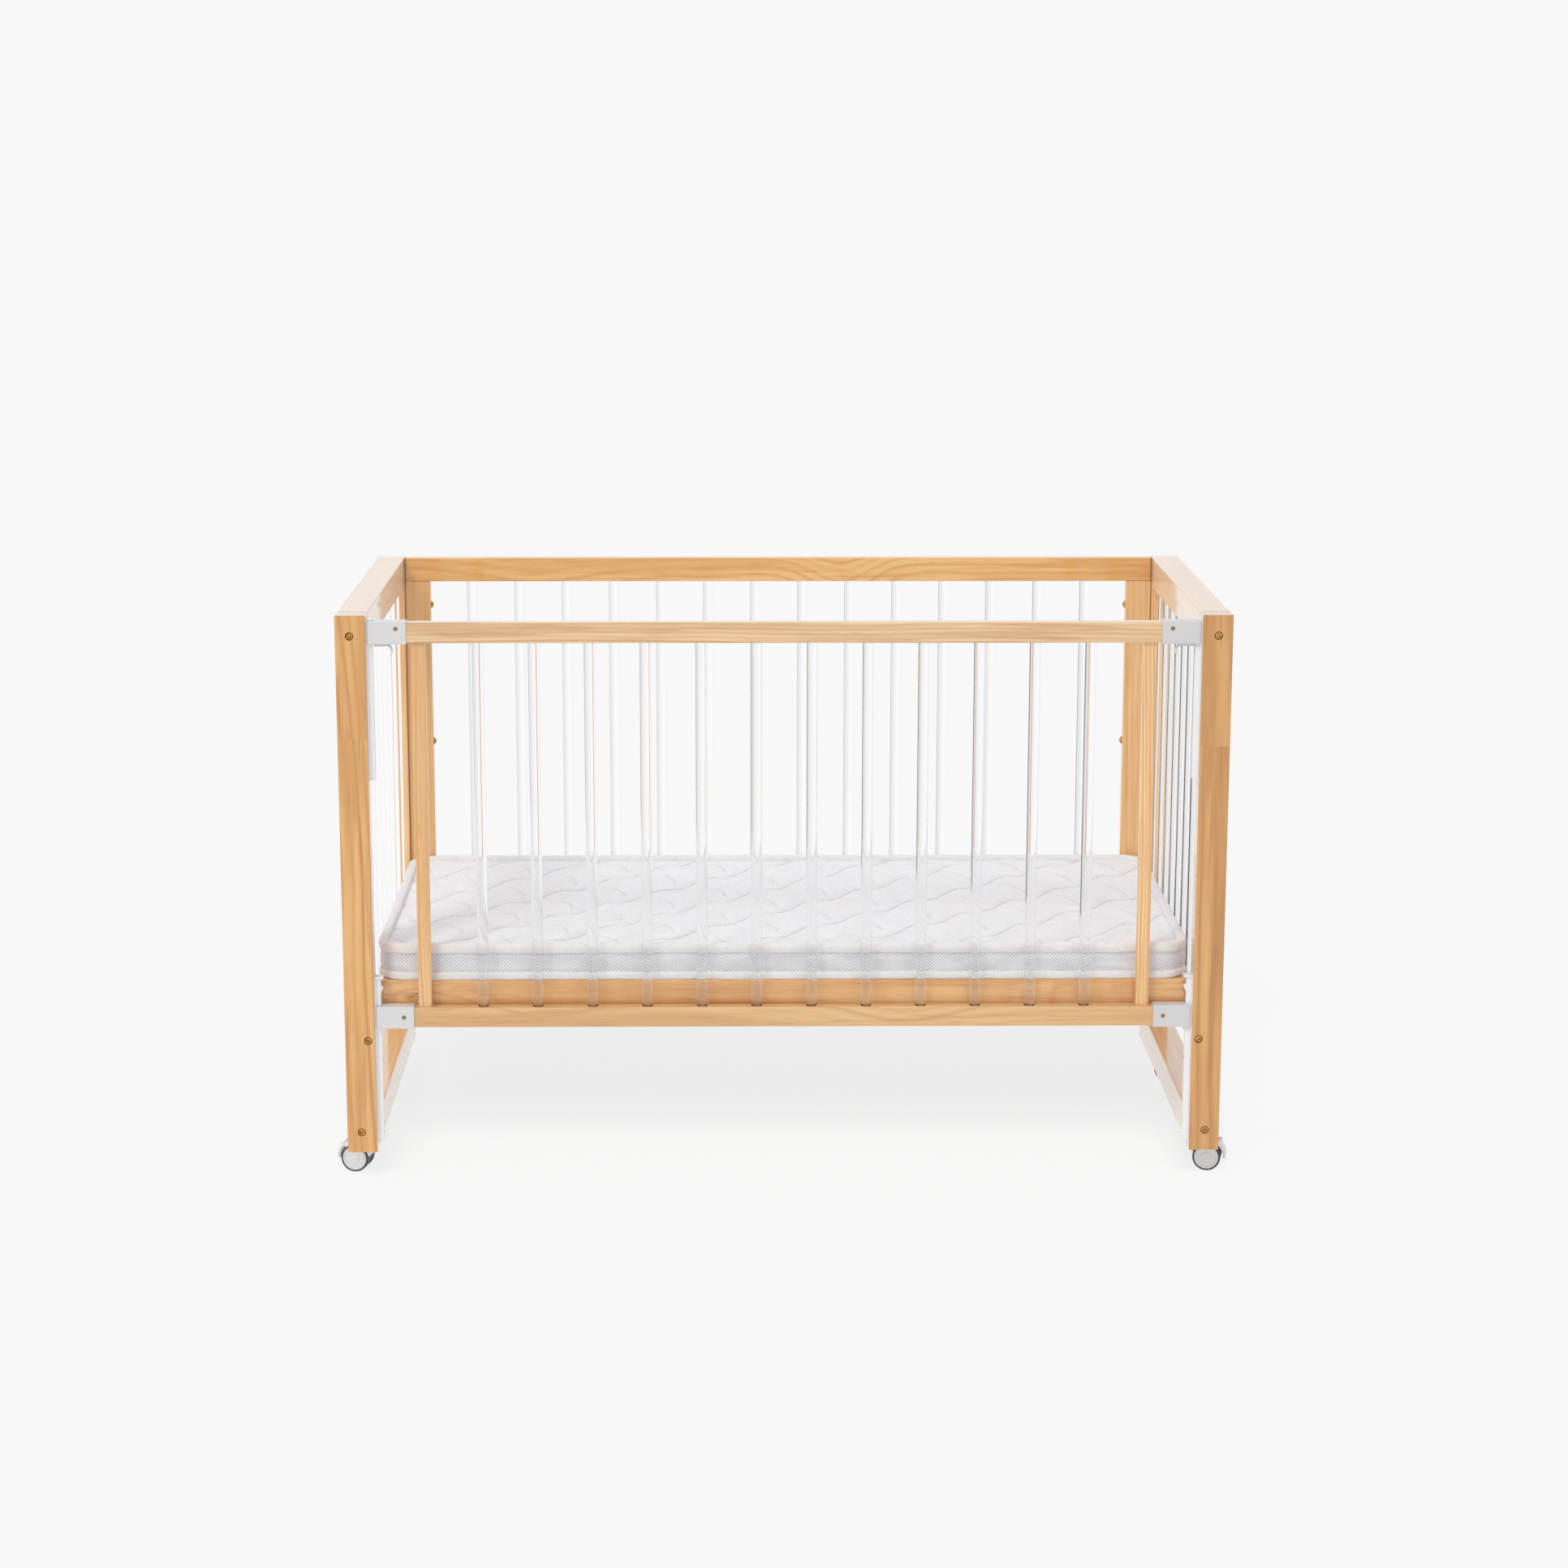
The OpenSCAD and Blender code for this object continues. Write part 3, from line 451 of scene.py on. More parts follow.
def rubber(name, colour):
    """A grey tyre: matt, dusty where it rolls, with faint moulding lines."""
    s = Shade(name)
    point = s.place()
    grain = s.noise(point, 1100.0, 3.0, 0.6)
    dust = s.span(s.noise(point, 90.0, 4.0, 0.65), 0.48, 0.75)
    s.set(
        Base_Color=s.mix(s.math("MULTIPLY", dust, 0.35), srgb(*colour), srgb(128, 126, 124)),
        Roughness=s.math("MULTIPLY_ADD", dust, 0.2, 0.5),
        IOR=1.5,
    )
    s.bump(grain, 0.0001, 0.5)
    return s.mat


# Mattress quilting, in metres: the wavy lines climb RISE for each RUN along X, and lie PITCH apart along Y.
# BEND 0 makes them straight, and 1 gives each wave a level stretch. A bowed leaf lies beside each wave.
RUN, RISE, PITCH, BEND = 0.0785, 0.0815, 0.160, 1.0
LINE_X, LINE_Y = 0.0216, 0.130
LEAF_X, LEAF_Y = -0.0176, 0.148
LEAF_WAY, LEAF_HALF, LEAF_BOW = (0.316, -0.949), 0.028, 0.0060
KNIT_X, KNIT_Y = 0.0016, 0.0022  # the jersey's loops
HOLE_U, HOLE_V = 0.0058, 0.0052  # the spacer mesh's holes, centre to centre


def line_y(x):
    """Where a quilting line lies along Y at each x of an array."""
    t = (x - LINE_X) / RUN
    return LINE_Y + RISE * (t + BEND * np.sin(2 * math.pi * t) / (2 * math.pi))


def quilt():
    """Knitted jersey over wadding: a fine rib, soft slubs, and thread sunk along the quilting lines. The
    lines are drawn darker than the thread, part thread and part painted shade, inside a wider band of painted
    shade in their grooves.
    """
    s = Shade("quilted_fabric")
    x, y, z = s.parts(s.place())

    # Distance to the nearest wavy line.
    t = s.math("DIVIDE", s.math("SUBTRACT", x, LINE_X), RUN)
    swing = s.math("MULTIPLY", s.math("SINE", s.math("MULTIPLY", t, 2 * math.pi)), BEND / (2 * math.pi))
    line = s.math("MULTIPLY_ADD", s.math("ADD", t, swing), RISE, LINE_Y)
    gap = s.math("ABSOLUTE", s.math("WRAP", s.math("SUBTRACT", y, line), PITCH / 2, -PITCH / 2))
    # The seam line is part thread and part painted shade. A wider band of painted shade lies in the groove
    # round it.
    seam_and_shade = s.span(gap, 0.0026, 0.0008)
    groove_shade = s.span(gap, 0.0110, 0.0010)

    # Distance to the nearest leaf stroke.
    i = s.math("ROUND", s.math("DIVIDE", s.math("SUBTRACT", x, LEAF_X), RUN))
    dx = s.math("MULTIPLY_ADD", i, -RUN, s.math("SUBTRACT", x, LEAF_X))
    dy = s.math("MULTIPLY_ADD", i, PITCH - RISE, s.math("SUBTRACT", y, LEAF_Y))
    dy = s.math("WRAP", dy, PITCH / 2, -PITCH / 2)
    along = s.math("MULTIPLY_ADD", dx, LEAF_WAY[0], s.math("MULTIPLY", dy, LEAF_WAY[1]))
    off = s.math("MULTIPLY_ADD", dx, -LEAF_WAY[1], s.math("MULTIPLY", dy, LEAF_WAY[0]))
    share = s.math("POWER", s.math("DIVIDE", along, LEAF_HALF), 2.0)
    bow = s.math("MULTIPLY_ADD", share, -LEAF_BOW, LEAF_BOW)
    past = s.math("MAXIMUM", s.math("SUBTRACT", s.math("ABSOLUTE", along), LEAF_HALF), 0.0)
    stroke = s.math("ADD", s.math("ABSOLUTE", s.math("SUBTRACT", off, s.math("MAXIMUM", bow, 0.0))), past)
    # Each leaf stroke gets the same seam line and painted groove shade.
    seam_and_shade = s.math("MAXIMUM", seam_and_shade, s.span(stroke, 0.0026, 0.0004, 0.0, 0.40))
    groove_shade = s.math("MAXIMUM", groove_shade, s.span(stroke, 0.0090, 0.0010, 0.0, 0.55))

    knit = s.math(
        "MULTIPLY",
        s.math("SINE", s.math("MULTIPLY", x, 2 * math.pi / KNIT_X)),
        s.math("SINE", s.math("MULTIPLY", y, 2 * math.pi / KNIT_Y)),
    )
    slub = s.noise(s.stretch((x, y, z), (210.0, 120.0, 1.0)), 1.0, 3.0, 0.6)
    soft = s.noise(s.place(), 16.0, 2.0)
    colour = s.mix(s.span(slub, 0.35, 0.75), srgb(236, 237, 243), srgb(245, 246, 250))
    colour = s.mix(s.math("MULTIPLY", s.span(soft, 0.35, 0.65), 0.35), colour, srgb(240, 238, 238))
    # painted shade in the grooves, then the dark seam line, part thread and part painted shade
    colour = s.mix(s.math("MULTIPLY", groove_shade, 0.22), colour, srgb(205, 203, 206))
    colour = s.mix(s.math("MULTIPLY", seam_and_shade, 0.55), colour, srgb(184, 181, 184))
    s.set(Base_Color=colour, Roughness=0.88, IOR=1.45, Sheen_Weight=0.25, Sheen_Roughness=0.5)
    height = s.math("MULTIPLY_ADD", knit, 0.25, slub)
    s.bump(s.math("MULTIPLY_ADD", seam_and_shade, -2.2, height), 0.0004, 0.6)
    return s.mat


def spacer_mesh():
    """Grey three-layer spacer mesh: rows of round holes, staggered, over a darker layer."""
    s = Shade("spacer_mesh")
    u, v, _ = s.parts(s.layer())
    hole = None
    for shift in (0.0, 0.5):
        a = s.math("SUBTRACT", s.math("FRACT", s.math("ADD", s.math("DIVIDE", u, HOLE_U), shift)), 0.5)
        b = s.math("SUBTRACT", s.math("FRACT", s.math("ADD", s.math("DIVIDE", v, HOLE_V), shift)), 0.5)
        squared = s.math("ADD", s.math("MULTIPLY", a, a), s.math("MULTIPLY", s.math("MULTIPLY", b, b), 1.2))
        dot = s.span(s.math("SQRT", squared), 0.27, 0.14)
        hole = dot if hole is None else s.math("MAXIMUM", hole, dot)
    cloud = s.noise(s.stretch((u, v, 0.0), (22.0, 60.0, 1.0)), 1.0, 3.0)
    yarn = s.noise(s.stretch((u, v, 0.0), (1400.0, 900.0, 1.0)), 1.0, 2.0)
    colour = s.mix(s.span(cloud, 0.35, 0.65), srgb(222, 222, 228), srgb(236, 236, 240))
    colour = s.mix(s.math("MULTIPLY", hole, 0.55), colour, srgb(160, 166, 174))
    colour = s.mix(s.math("MULTIPLY", yarn, 0.12), colour, srgb(240, 240, 240))
    s.set(Base_Color=colour, Roughness=0.8, IOR=1.45, Sheen_Weight=0.15, Sheen_Roughness=0.5)
    s.bump(s.math("MULTIPLY_ADD", hole, -1.6, yarn), 0.0004, 0.7)
    return s.mat


def terry():
    """Cream terry binding: small loops in rows, drawn darker and tanner where the loops meet, with a slightly
    uneven nap.
    """
    s = Shade("terry_tape")
    point = s.place()
    loops = s.cells(s.vec("MULTIPLY", point, (1.0, 1.0, 1.5)), 620.0)
    nap = s.noise(point, 90.0, 3.0, 0.6)
    colour = s.mix(s.span(nap, 0.35, 0.70), srgb(245, 242, 242), srgb(250, 249, 249))
    # darker and tanner where the loops meet
    colour = s.mix(s.math("MULTIPLY", s.span(loops, 0.15, 0.6), 0.25), colour, srgb(232, 225, 222))
    s.set(Base_Color=colour, Roughness=0.92, IOR=1.45, Sheen_Weight=0.4, Sheen_Roughness=0.45)
    s.bump(s.math("MULTIPLY", loops, -1.0), 0.0011, 0.8)
    return s.mat


def thread():
    """Off-white sewing thread with its twist."""
    s = Shade("sewing_thread")
    point = s.place()
    twist = s.noise(point, 2600.0, 1.0)
    s.set(
        Base_Color=s.mix(twist, srgb(226, 222, 218), srgb(246, 244, 242)),
        Roughness=0.6,
        IOR=1.45,
        Sheen_Weight=0.3,
    )
    s.bump(twist, 0.0001, 0.6)
    return s.mat


# ---- materials on the CAD's nodes --------------------------------------------


def dress(material, *names):
    """Gives the CAD nodes of these names the material."""
    for name in names:
        o = nodes[name]
        o.data.materials.clear()
        o.data.materials.append(material)


def middle(name):
    """The middle of a node's box."""
    lo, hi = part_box(name)
    return tuple((lo + hi) / 2)


def dress_timber():
    """Each timber gets its own log, with the grain along its length."""
    post = dict(light=(230, 179, 108), dark=(182, 108, 32), period=0.0085, figure=0.80)
    # Painted shade: the front right post's timber is drawn darker than the front left's, as light falls off
    # to the right.
    front_right_shaded = dict(light=(220, 168, 96), dark=(170, 100, 30), period=0.0080, figure=0.80)
    rear = dict(light=(252, 206, 146), dark=(216, 150, 80), period=0.0095, figure=0.50)
    for name, look in (
        ("post_front_left", dict(post, pith=(0.018, 0.070), lean=(0.020, 0.018), seed=3.0, cut=0.672)),
        ("post_front_right", dict(front_right_shaded, pith=(-0.060, 0.060), lean=(0.010, 0.022), seed=8.0, cut=0.660)),
        ("post_rear_left", dict(rear, pith=(0.030, -0.090), seed=14.0)),
        ("post_rear_right", dict(rear, pith=(-0.035, -0.090), seed=19.0)),
    ):
        dress(pine("pine_" + name, "z", middle(name), **look), name)
    rail = dict(light=(234, 185, 118), dark=(204, 136, 66), period=0.0090, figure=0.50, joint=("y", 0.2943))
    for name, look in (
        ("end_top_rail_left", dict(rail, pith=(0.100, 0.030), seed=23.0)),
        ("end_top_rail_right", dict(rail, pith=(-0.110, 0.040), seed=29.0)),
        ("end_mid_rail_left", dict(rail, pith=(0.080, 0.090), seed=31.0)),
        ("end_mid_rail_right", dict(rail, pith=(-0.090, 0.060), seed=37.0)),
        ("end_bottom_rail_left", dict(rail, pith=(0.110, 0.030), seed=41.0)),
        ("end_bottom_rail_right", dict(rail, pith=(-0.100, 0.040), seed=43.0)),
    ):
        dress(pine("pine_" + name, "y", middle(name), **look), name)
    dress(
        pine("pine_back_top_rail", "x", middle("back_top_rail"), (243, 194, 120), (206, 132, 50), 0.0088,
             (0.070, 0.040), (0.003, 0.003), 0.66, 47.0, joint=("x", 0.5998),
             swell=((0.10, 0.070, 0.026), (-0.38, 0.12, 0.010))),
        "back_top_rail",
    )
    dress(
        pine("pine_back_bottom_rail", "x", middle("back_bottom_rail"), (236, 192, 132), (192, 130, 66), 0.007,
             (0.110, 0.040), (0.006, 0.004), 0.55, 53.0),
        "back_bottom_rail",
    )
    dress(
        pine("pine_back_stiles", "z", middle("back_stiles"), (244, 198, 136), (212, 144, 72), 0.0105,
             (0.120, 0.020), (0.010, 0.010), 0.45, 59.0, split=("x", 10.0), joint=("x", 0.6010)),
        "back_stiles",
    )
    dress(
        pine("pale_pine_drop_top_rail", "x", middle("drop_top_rail"), (236, 201, 152), (188, 132, 78), 0.0064,
             (0.020, 0.130), (0.000, 0.0006), 0.78, 61.0),
        "drop_top_rail",
    )
    dress(
        pine("pale_pine_drop_bottom_rail", "x", middle("drop_bottom_rail"), (228, 184, 124), (192, 134, 72),
             0.0095, (0.080, 0.030), (0.003, 0.002), 0.50, 67.0,
             swell=((0.18, 0.10, 0.018), (-0.35, 0.07, 0.012))),
        "drop_bottom_rail",
    )
    dress(
        pine("pale_pine_drop_slats", "z", middle("drop_slats"), (243, 203, 146), (204, 132, 56), 0.0060,
             (0.110, 0.020), (0.004, 0.004), 0.85, 71.0, split=("x", 10.0)),
        "drop_slats",
    )
    dress(
        pine("base_pine_long", "x", (0, 0, 0.272), (247, 199, 132), (192, 118, 50), 0.0068,
             (0.060, 0.025), (0.004, 0.006), 0.72, 73.0, split=("y", 10.0),
             swell=((-0.28, 0.05, 0.012), (-0.05, 0.10, 0.016), (0.20, 0.07, 0.010), (0.42, 0.06, 0.018)),
             knots=((-0.548, -0.298, 0.280, 0.0035), (-0.475, -0.298, 0.262, 0.0030))),
        "base_long_boards",
    )
    dress(
        pine("base_pine_ends", "y", (0, 0, 0.272), (229, 180, 120), (168, 108, 54), 0.0080,
             (0.060, 0.060), (0.006, 0.006), 0.55, 79.0, split=("x", 10.0)),
        "base_end_boards",
    )
    dress(
        pine("base_pine_cleats", "x", (0, 0, 0.284), (230, 184, 126), (176, 116, 60), 0.0065,
             (0.080, 0.050), (0.006, 0.006), 0.55, 83.0, split=("y", 10.0)),
        "base_cleats",
    )
    dress(
        pine("pale_pine_base_slats", "y", (0, 0, 0.300), (240, 204, 152), (202, 150, 92), 0.0070,
             (0.030, 0.090), (0.006, 0.006), 0.52, 89.0, split=("x", 0.1066)),
        "base_slats",
    )


def dress_fittings():
    """Plastic, clear, metal and rubber pieces. The white plastic is drawn in lit and shaded copies, as
    painted light and shade: the tracks whiter, the latches and the right brackets greyer than the left
    brackets.
    """
    # Painted light: the tracks' plastic is whiter, to lift them where they lie in shade. Painted shade: the
    # latches' plastic is greyer.
    rail = plastic("white_plastic_tracks_painted_light", (240, 239, 240))
    shaded_latch_plastic = plastic("white_plastic_latches_painted_shade", (216, 214, 216))
    # Painted shade: the right brackets' plastic is greyer than the left's.
    for side, shade in (("left", (218, 217, 218)), ("right", (210, 209, 210))):
        dress(plastic("white_plastic_" + side, shade), "bracket_top_" + side, "bracket_bottom_" + side)
        dress(rail, "track_upper_" + side, "track_lower_" + side)
        dress(shaded_latch_plastic, "latch_trigger_" + side)
    dress(acrylic("clear_acrylic", 0.62), "drop_rods")
    dress(acrylic("clear_acrylic_frame", 0.94), "end_rods_left", "end_rods_right", "back_rods")
    zinc = metal("zinc_steel", (214, 172, 96), (160, 116, 58), 0.30)
    brass = metal("brass_screws", (176, 142, 88), (124, 94, 56), 0.36)
    steel = metal("bright_steel", (206, 207, 210), (168, 170, 174), 0.30)
    dress(zinc, "post_bolts", "back_bolts", "base_screws", "track_screws")
    dress(brass, "bracket_screws", "post_inserts")
    dress(steel, "barrel_nuts", "base_angles", "caster_stems", "latch_spring_left", "latch_spring_right")
    for side in ("left", "right"):
        make_spring(side, steel)
    shell = plastic("caster_plastic", (232, 230, 230), 0.34)
    disc = plastic("wheel_disc", (221, 220, 222), 0.40)
    tread = rubber("wheel_tread", (66, 66, 72))
    for where in ("front_left", "front_right", "rear_left", "rear_right"):
        dress(shell, "caster_housing_" + where)
        dress(disc, "caster_wheels_" + where)
        dress(tread, "caster_treads_" + where)
    dress(plastic("pedal_plastic", (228, 226, 226), 0.34), "brake_pedal_left", "brake_pedal_right")


# ---- meshes ------------------------------------------------------------------


def smooth_noise(points, size, seed):
    """Smooth value noise in -1..1 at points (n, k), with features about size across."""
    rng = np.random.default_rng(seed)
    k = points.shape[1]
    total = np.zeros(len(points))
    for _ in range(9):
        direction = rng.normal(size=k)
        direction /= np.linalg.norm(direction)
        turns = points @ direction * (2 * math.pi / size) * rng.uniform(0.6, 1.5)
        total += np.sin(turns + rng.uniform(0, 2 * math.pi))
    return total / 3.6  # nine waves rarely add up to more


def new_mesh(name, verts, faces, materials, indices=None, uvs=None):
    """A smooth-shaded object. indices pick face materials, and uvs hold a point for each face corner."""
    mesh = bpy.data.meshes.new(name)
    mesh.from_pydata([tuple(v) for v in verts], [], [tuple(f) for f in faces])
    for m in materials:
        mesh.materials.append(m)
    if indices is not None:
        mesh.polygons.foreach_set("material_index", np.asarray(indices, np.int32))
    mesh.polygons.foreach_set("use_smooth", np.ones(len(mesh.polygons), bool))
    if uvs is not None:
        layer = mesh.uv_layers.new(name="Sewn")
        layer.data.foreach_set("uv", np.asarray(uvs, np.float32).ravel())
    mesh.update()
    o = bpy.data.objects.new(name, mesh)
    bpy.context.scene.collection.objects.link(o)
    return o


# ---- mattress ----------------------------------------------------------------


CORNER = 0.045  # radius of the mattress's corners
PAD_INSET, PAD_STEP = 0.0045, 0.0042  # the pad's edge inside its box, and the spacing of its grid
# The side band's rings: how far each lies below the mattress's top, and how far it bulges.
BAND = (
    (0.0140, -0.0002),
    (0.0190, 0.0010),
    (0.0270, 0.0018),
    (0.0350, 0.0017),
    (0.0425, 0.0008),
    (0.0465, -0.0004),
)
TAPE_TOP, TAPE_BOTTOM = (0.0079, 0.0074), (0.0064, 0.0050)  # half height and half width
SEWN_TOP, SEWN_BOTTOM = 0.0151, 0.0124  # the stitches' rows, from the mattress's top and from its underside


def rim(half_x, half_y, radius, straight=0.0042, turn=22):
    """A rounded rectangle's outline, counter-clockwise: points, outward normals and the length along it."""
    points, normals = [], []
    for cx, cy, start in ((1, 1, 0), (-1, 1, 90), (-1, -1, 180), (1, -1, 270)):
        for i in range(turn):
            a = math.radians(start + 90 * i / turn)
            n = (math.cos(a), math.sin(a))
            points.append((cx * (half_x - radius) + radius * n[0], cy * (half_y - radius) + radius * n[1]))
            normals.append(n)
        a = math.radians(start + 90)
        n = (math.cos(a), math.sin(a))
        here = np.array((cx * (half_x - radius), cy * (half_y - radius))) + radius * np.array(n)
        run = 2 * (half_x - radius) if abs(n[1]) > 0.5 else 2 * (half_y - radius)
        heading = np.array((-n[1], n[0]))
        count = int(run / straight)
        for i in range(count):
            points.append(tuple(here + heading * run * i / count))
            normals.append(n)
    points, normals = np.array(points), np.array(normals)
    steps = np.linalg.norm(np.roll(points, -1, 0) - points, axis=1)
    return points, normals, np.concatenate(([0], np.cumsum(steps)))


def quilt_relief(x, y):
    """How far the quilted top sinks below its pillows, in metres, at its lines, leaves and gathers."""
    t = (x - LINE_X) / RUN
    slope = RISE / RUN * (1 + BEND * np.cos(2 * math.pi * t))
    gap = y - line_y(x)
    gap = np.abs((gap + PITCH / 2) % PITCH - PITCH / 2) / np.sqrt(1 + np.minimum(slope, 1.6) ** 2)
    groove = np.exp(-gap / 0.0075)
    pucker = np.sin((x + y) * 2 * math.pi / 0.013 + 3 * np.sin(x * 41) + 2 * np.sin(y * 37))
    gather = np.exp(-gap / 0.016) * pucker
    leaf = np.full_like(x, 1.0)
    for i in range(-9, 10):
        for j in range(-9, 10):
            cx, cy = LEAF_X + i * RUN, LEAF_Y - i * (PITCH - RISE) + j * PITCH
            near = (np.abs(x - cx) < 0.05) & (np.abs(y - cy) < 0.06)
            if not near.any():
                continue
            dx, dy = x[near] - cx, y[near] - cy
            run, off = dx * LEAF_WAY[0] + dy * LEAF_WAY[1], -dx * LEAF_WAY[1] + dy * LEAF_WAY[0]
            bow = LEAF_BOW * np.clip(1 - (run / LEAF_HALF) ** 2, 0, 1)
            past = np.maximum(np.abs(run) - LEAF_HALF, 0)
            leaf[near] = np.minimum(leaf[near], np.sqrt((off - bow) ** 2 + past**2))
    veins = np.exp(-leaf / 0.0045)
    flat = np.stack((x, y), 1)
    soft = smooth_noise(flat, 0.055, 5) * 0.00035 + smooth_noise(flat, 0.021, 6) * 0.00016
    return 0.0046 * groove + 0.0022 * veins - 0.00030 * gather - soft


def perk(y):
    """How far the rear half of the mattress is lifted, in metres."""
    share = np.clip((y - 0.02) / 0.26, 0, 1)
    return 0.0045 * share * share * (3 - 2 * share)


def pad_plan(half_x, half_y, r):
    """A grid over the pad's rounded plan, and each point's distance from the edge.
    Its rows run along X, and lie closer together round the corners."""
    turn = np.radians(np.linspace(90, 0, 15)[:-1])
    corner = half_y - r + r * np.sin(turn)
    flat = np.linspace(half_y - r, -(half_y - r), int(2 * (half_y - r) / PAD_STEP))
    rows = np.concatenate((corner, flat, -corner[::-1]))
    cols = np.linspace(-1, 1, 285)
    reach = half_x - r + np.sqrt(np.maximum(r * r - np.maximum(np.abs(rows) - (half_y - r), 0) ** 2, 0))
    x = reach[:, None] * cols[None, :]
    y = np.repeat(rows[:, None], len(cols), 1)
    round_corner = r - np.hypot(np.maximum(np.abs(x) - (half_x - r), 0), np.abs(y) - (half_y - r))
    edge = np.minimum(half_y - np.abs(y), np.where(np.abs(y) > half_y - r, round_corner, half_x - np.abs(x)))
    return x, y, edge


def pad_band(plan, high):
    """Rings of points down the pad's side, which bulge a little, and the length along the first one."""
    back, ahead = np.roll(plan, 1, 0), np.roll(plan, -1, 0)
    heading = ahead - back
    out = np.stack((heading[:, 1], -heading[:, 0]), 1)
    out /= np.linalg.norm(out, axis=1)[:, None]
    rings = []
    for k, (down, push) in enumerate(BAND):
        here = np.stack((*plan.T, high - down + perk(plan[:, 1]) * (1 - k / (len(BAND) - 1))), 1)
        wobble = smooth_noise(here, 0.06, 11) * 0.0006 + smooth_noise(here, 0.02, 12) * 0.0002
        here[:, :2] += out * (push + wobble)[:, None]
        rings.append(here)
    length = np.concatenate(([0], np.cumsum(np.linalg.norm(ahead - plan, axis=1))))
    return rings, length


def make_pad(half_x, half_y, low, high):
    """The quilted top, the plain underside and the mesh band between them, as one closed mesh."""
    half_x, half_y = half_x - PAD_INSET, half_y - PAD_INSET
    x, y, edge = pad_plan(half_x, half_y, CORNER - PAD_INSET)
    roll = 0.0055 * np.exp(-np.maximum(edge, 0) / 0.006)
    crown = 0.0025 * (1 - (x / half_x) ** 4) * (1 - (y / half_y) ** 4) + perk(y)
    relief = quilt_relief(x.ravel(), y.ravel()).reshape(x.shape) * np.clip(edge / 0.014, 0, 1)
    top = high - 0.0068 + crown - roll - relief
    under = low + 0.0006 + 0.0030 * np.exp(-np.maximum(edge, 0) / 0.005)
    plan = np.stack((x.ravel(), y.ravel()), 1)
    verts = [np.column_stack((plan, top.ravel())), np.column_stack((plan, under.ravel()))]
    count = len(plan)
    grid = np.arange(count).reshape(x.shape)
    quad = np.stack((grid[:-1, :-1], grid[1:, :-1], grid[1:, 1:], grid[:-1, 1:]), 2).reshape(-1, 4)
    faces = [quad, quad[:, ::-1] + count]
    uvs = [plan[quad.ravel()], plan[quad[:, ::-1].ravel()]]
    indices = [0] * (2 * len(quad))

    ring = np.concatenate((grid[0, ::-1], grid[1:, 0], grid[-1, 1:], grid[-2:0:-1, -1]))
    band, length = pad_band(plan[ring], high)
    rings = [ring]
    for k, points in enumerate(band):
        verts.append(points)
        rings.append(2 * count + k * len(ring) + np.arange(len(ring)))
    rings.append(ring + count)
    heights = [high, *(high - down for down, _ in BAND), low]
    for a, b, v0, v1 in zip(rings, rings[1:], heights, heights[1:]):
        faces.append(np.stack((a, b, np.roll(b, -1), np.roll(a, -1)), 1))
        indices += [1] * len(a)
        u0, u1 = length[:-1], length[1:]
        corners = [np.stack((u, np.full(len(a), v)), 1) for u, v in ((u0, v0), (u0, v1), (u1, v1), (u1, v0))]
        uvs.append(np.stack(corners, 1).reshape(-1, 2))
    verts, faces, uvs = (np.concatenate(part) for part in (verts, faces, uvs))
    pad = new_mesh("mattress_pad", verts, faces, (quilt(), spacer_mesh()), indices, uvs)
    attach(pad, "mattress")
    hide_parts("mattress")


def make_mattress():
    """The pad, with a tape and a row of stitches round its upper and its lower edge."""
    lo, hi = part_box("mattress")
    half_x, half_y, low, high = hi.x, hi.y, lo.z, hi.z
    make_pad(half_x, half_y, low, high)
    tape, sew = terry(), thread()
    half_h, half_w = TAPE_TOP
    make_tape("mattress_tape_top", half_x, half_y, high - half_h, half_h, half_w, tape, 21, 1.0)
    half_h, half_w = TAPE_BOTTOM
    make_tape("mattress_tape_bottom", half_x, half_y, low + half_h, half_h, half_w, tape, 22, 0.0)
    make_stitches("mattress_stitches_top", half_x, half_y, high - SEWN_TOP, sew, 31, 1.0)
    make_stitches("mattress_stitches_bottom", half_x, half_y, low + SEWN_BOTTOM, sew, 32, 0.0)


def make_tape(name, half_x, half_y, z, half_h, half_w, material, seed, lift):
    """Terry binding rolled over an edge of the pad: a soft rounded band that puckers a little at the corners.
    lift is the share of the rear's rise that it follows."""
    give = 0.0006
    points, normals, length = rim(half_x - half_w - give, half_y - half_w - give, CORNER - half_w)
    crook = np.clip(1 - np.abs(np.abs(normals[:, 0]) - np.abs(normals[:, 1])), 0, 1) ** 0.5
    around = np.linspace(0, 2 * math.pi, 20, endpoint=False)
    verts = []
    for a in around:
        c, s = math.cos(a), math.sin(a)
        side = math.copysign(abs(c) ** 0.72, c) * half_w
        up = math.copysign(abs(s) ** 0.72, s) * half_h
        loop = np.stack((points[:, 0], points[:, 1], np.full(len(points), z + up)), 1)
        wobble = smooth_noise(loop, 0.045, seed) * 0.00045
        wobble += smooth_noise(loop, 0.012, seed + 50) * (0.00015 + 0.00045 * crook)
        loop[:, :2] += normals * (side + np.minimum(wobble, give))[:, None]
        loop[:, 2] += smooth_noise(loop, 0.05, seed + 90) * 0.0003 - 0.0003 + lift * perk(loop[:, 1])
        verts.append(loop)
    m, k = len(points), len(around)
    verts = np.concatenate(verts)
    grid = np.arange(m * k).reshape(k, m)
    a, b = grid, np.roll(grid, -1, 0)
    faces = np.stack((a, np.roll(a, -1, 1), np.roll(b, -1, 1), b), 2).reshape(-1, 4)
    rise = np.linspace(0, 2 * (half_h + half_w) * 1.6, k + 1)
    ways = ((0, 0), (1, 0), (1, 1), (0, 1))
    corners = [np.stack(np.meshgrid(length[du : du + m], rise[dv : dv + k]), 2) for du, dv in ways]
    uvs = np.stack(corners, 2).reshape(-1, 2)
    o = new_mesh(name, verts, faces, (material,), None, uvs)
    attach(o, "mattress")


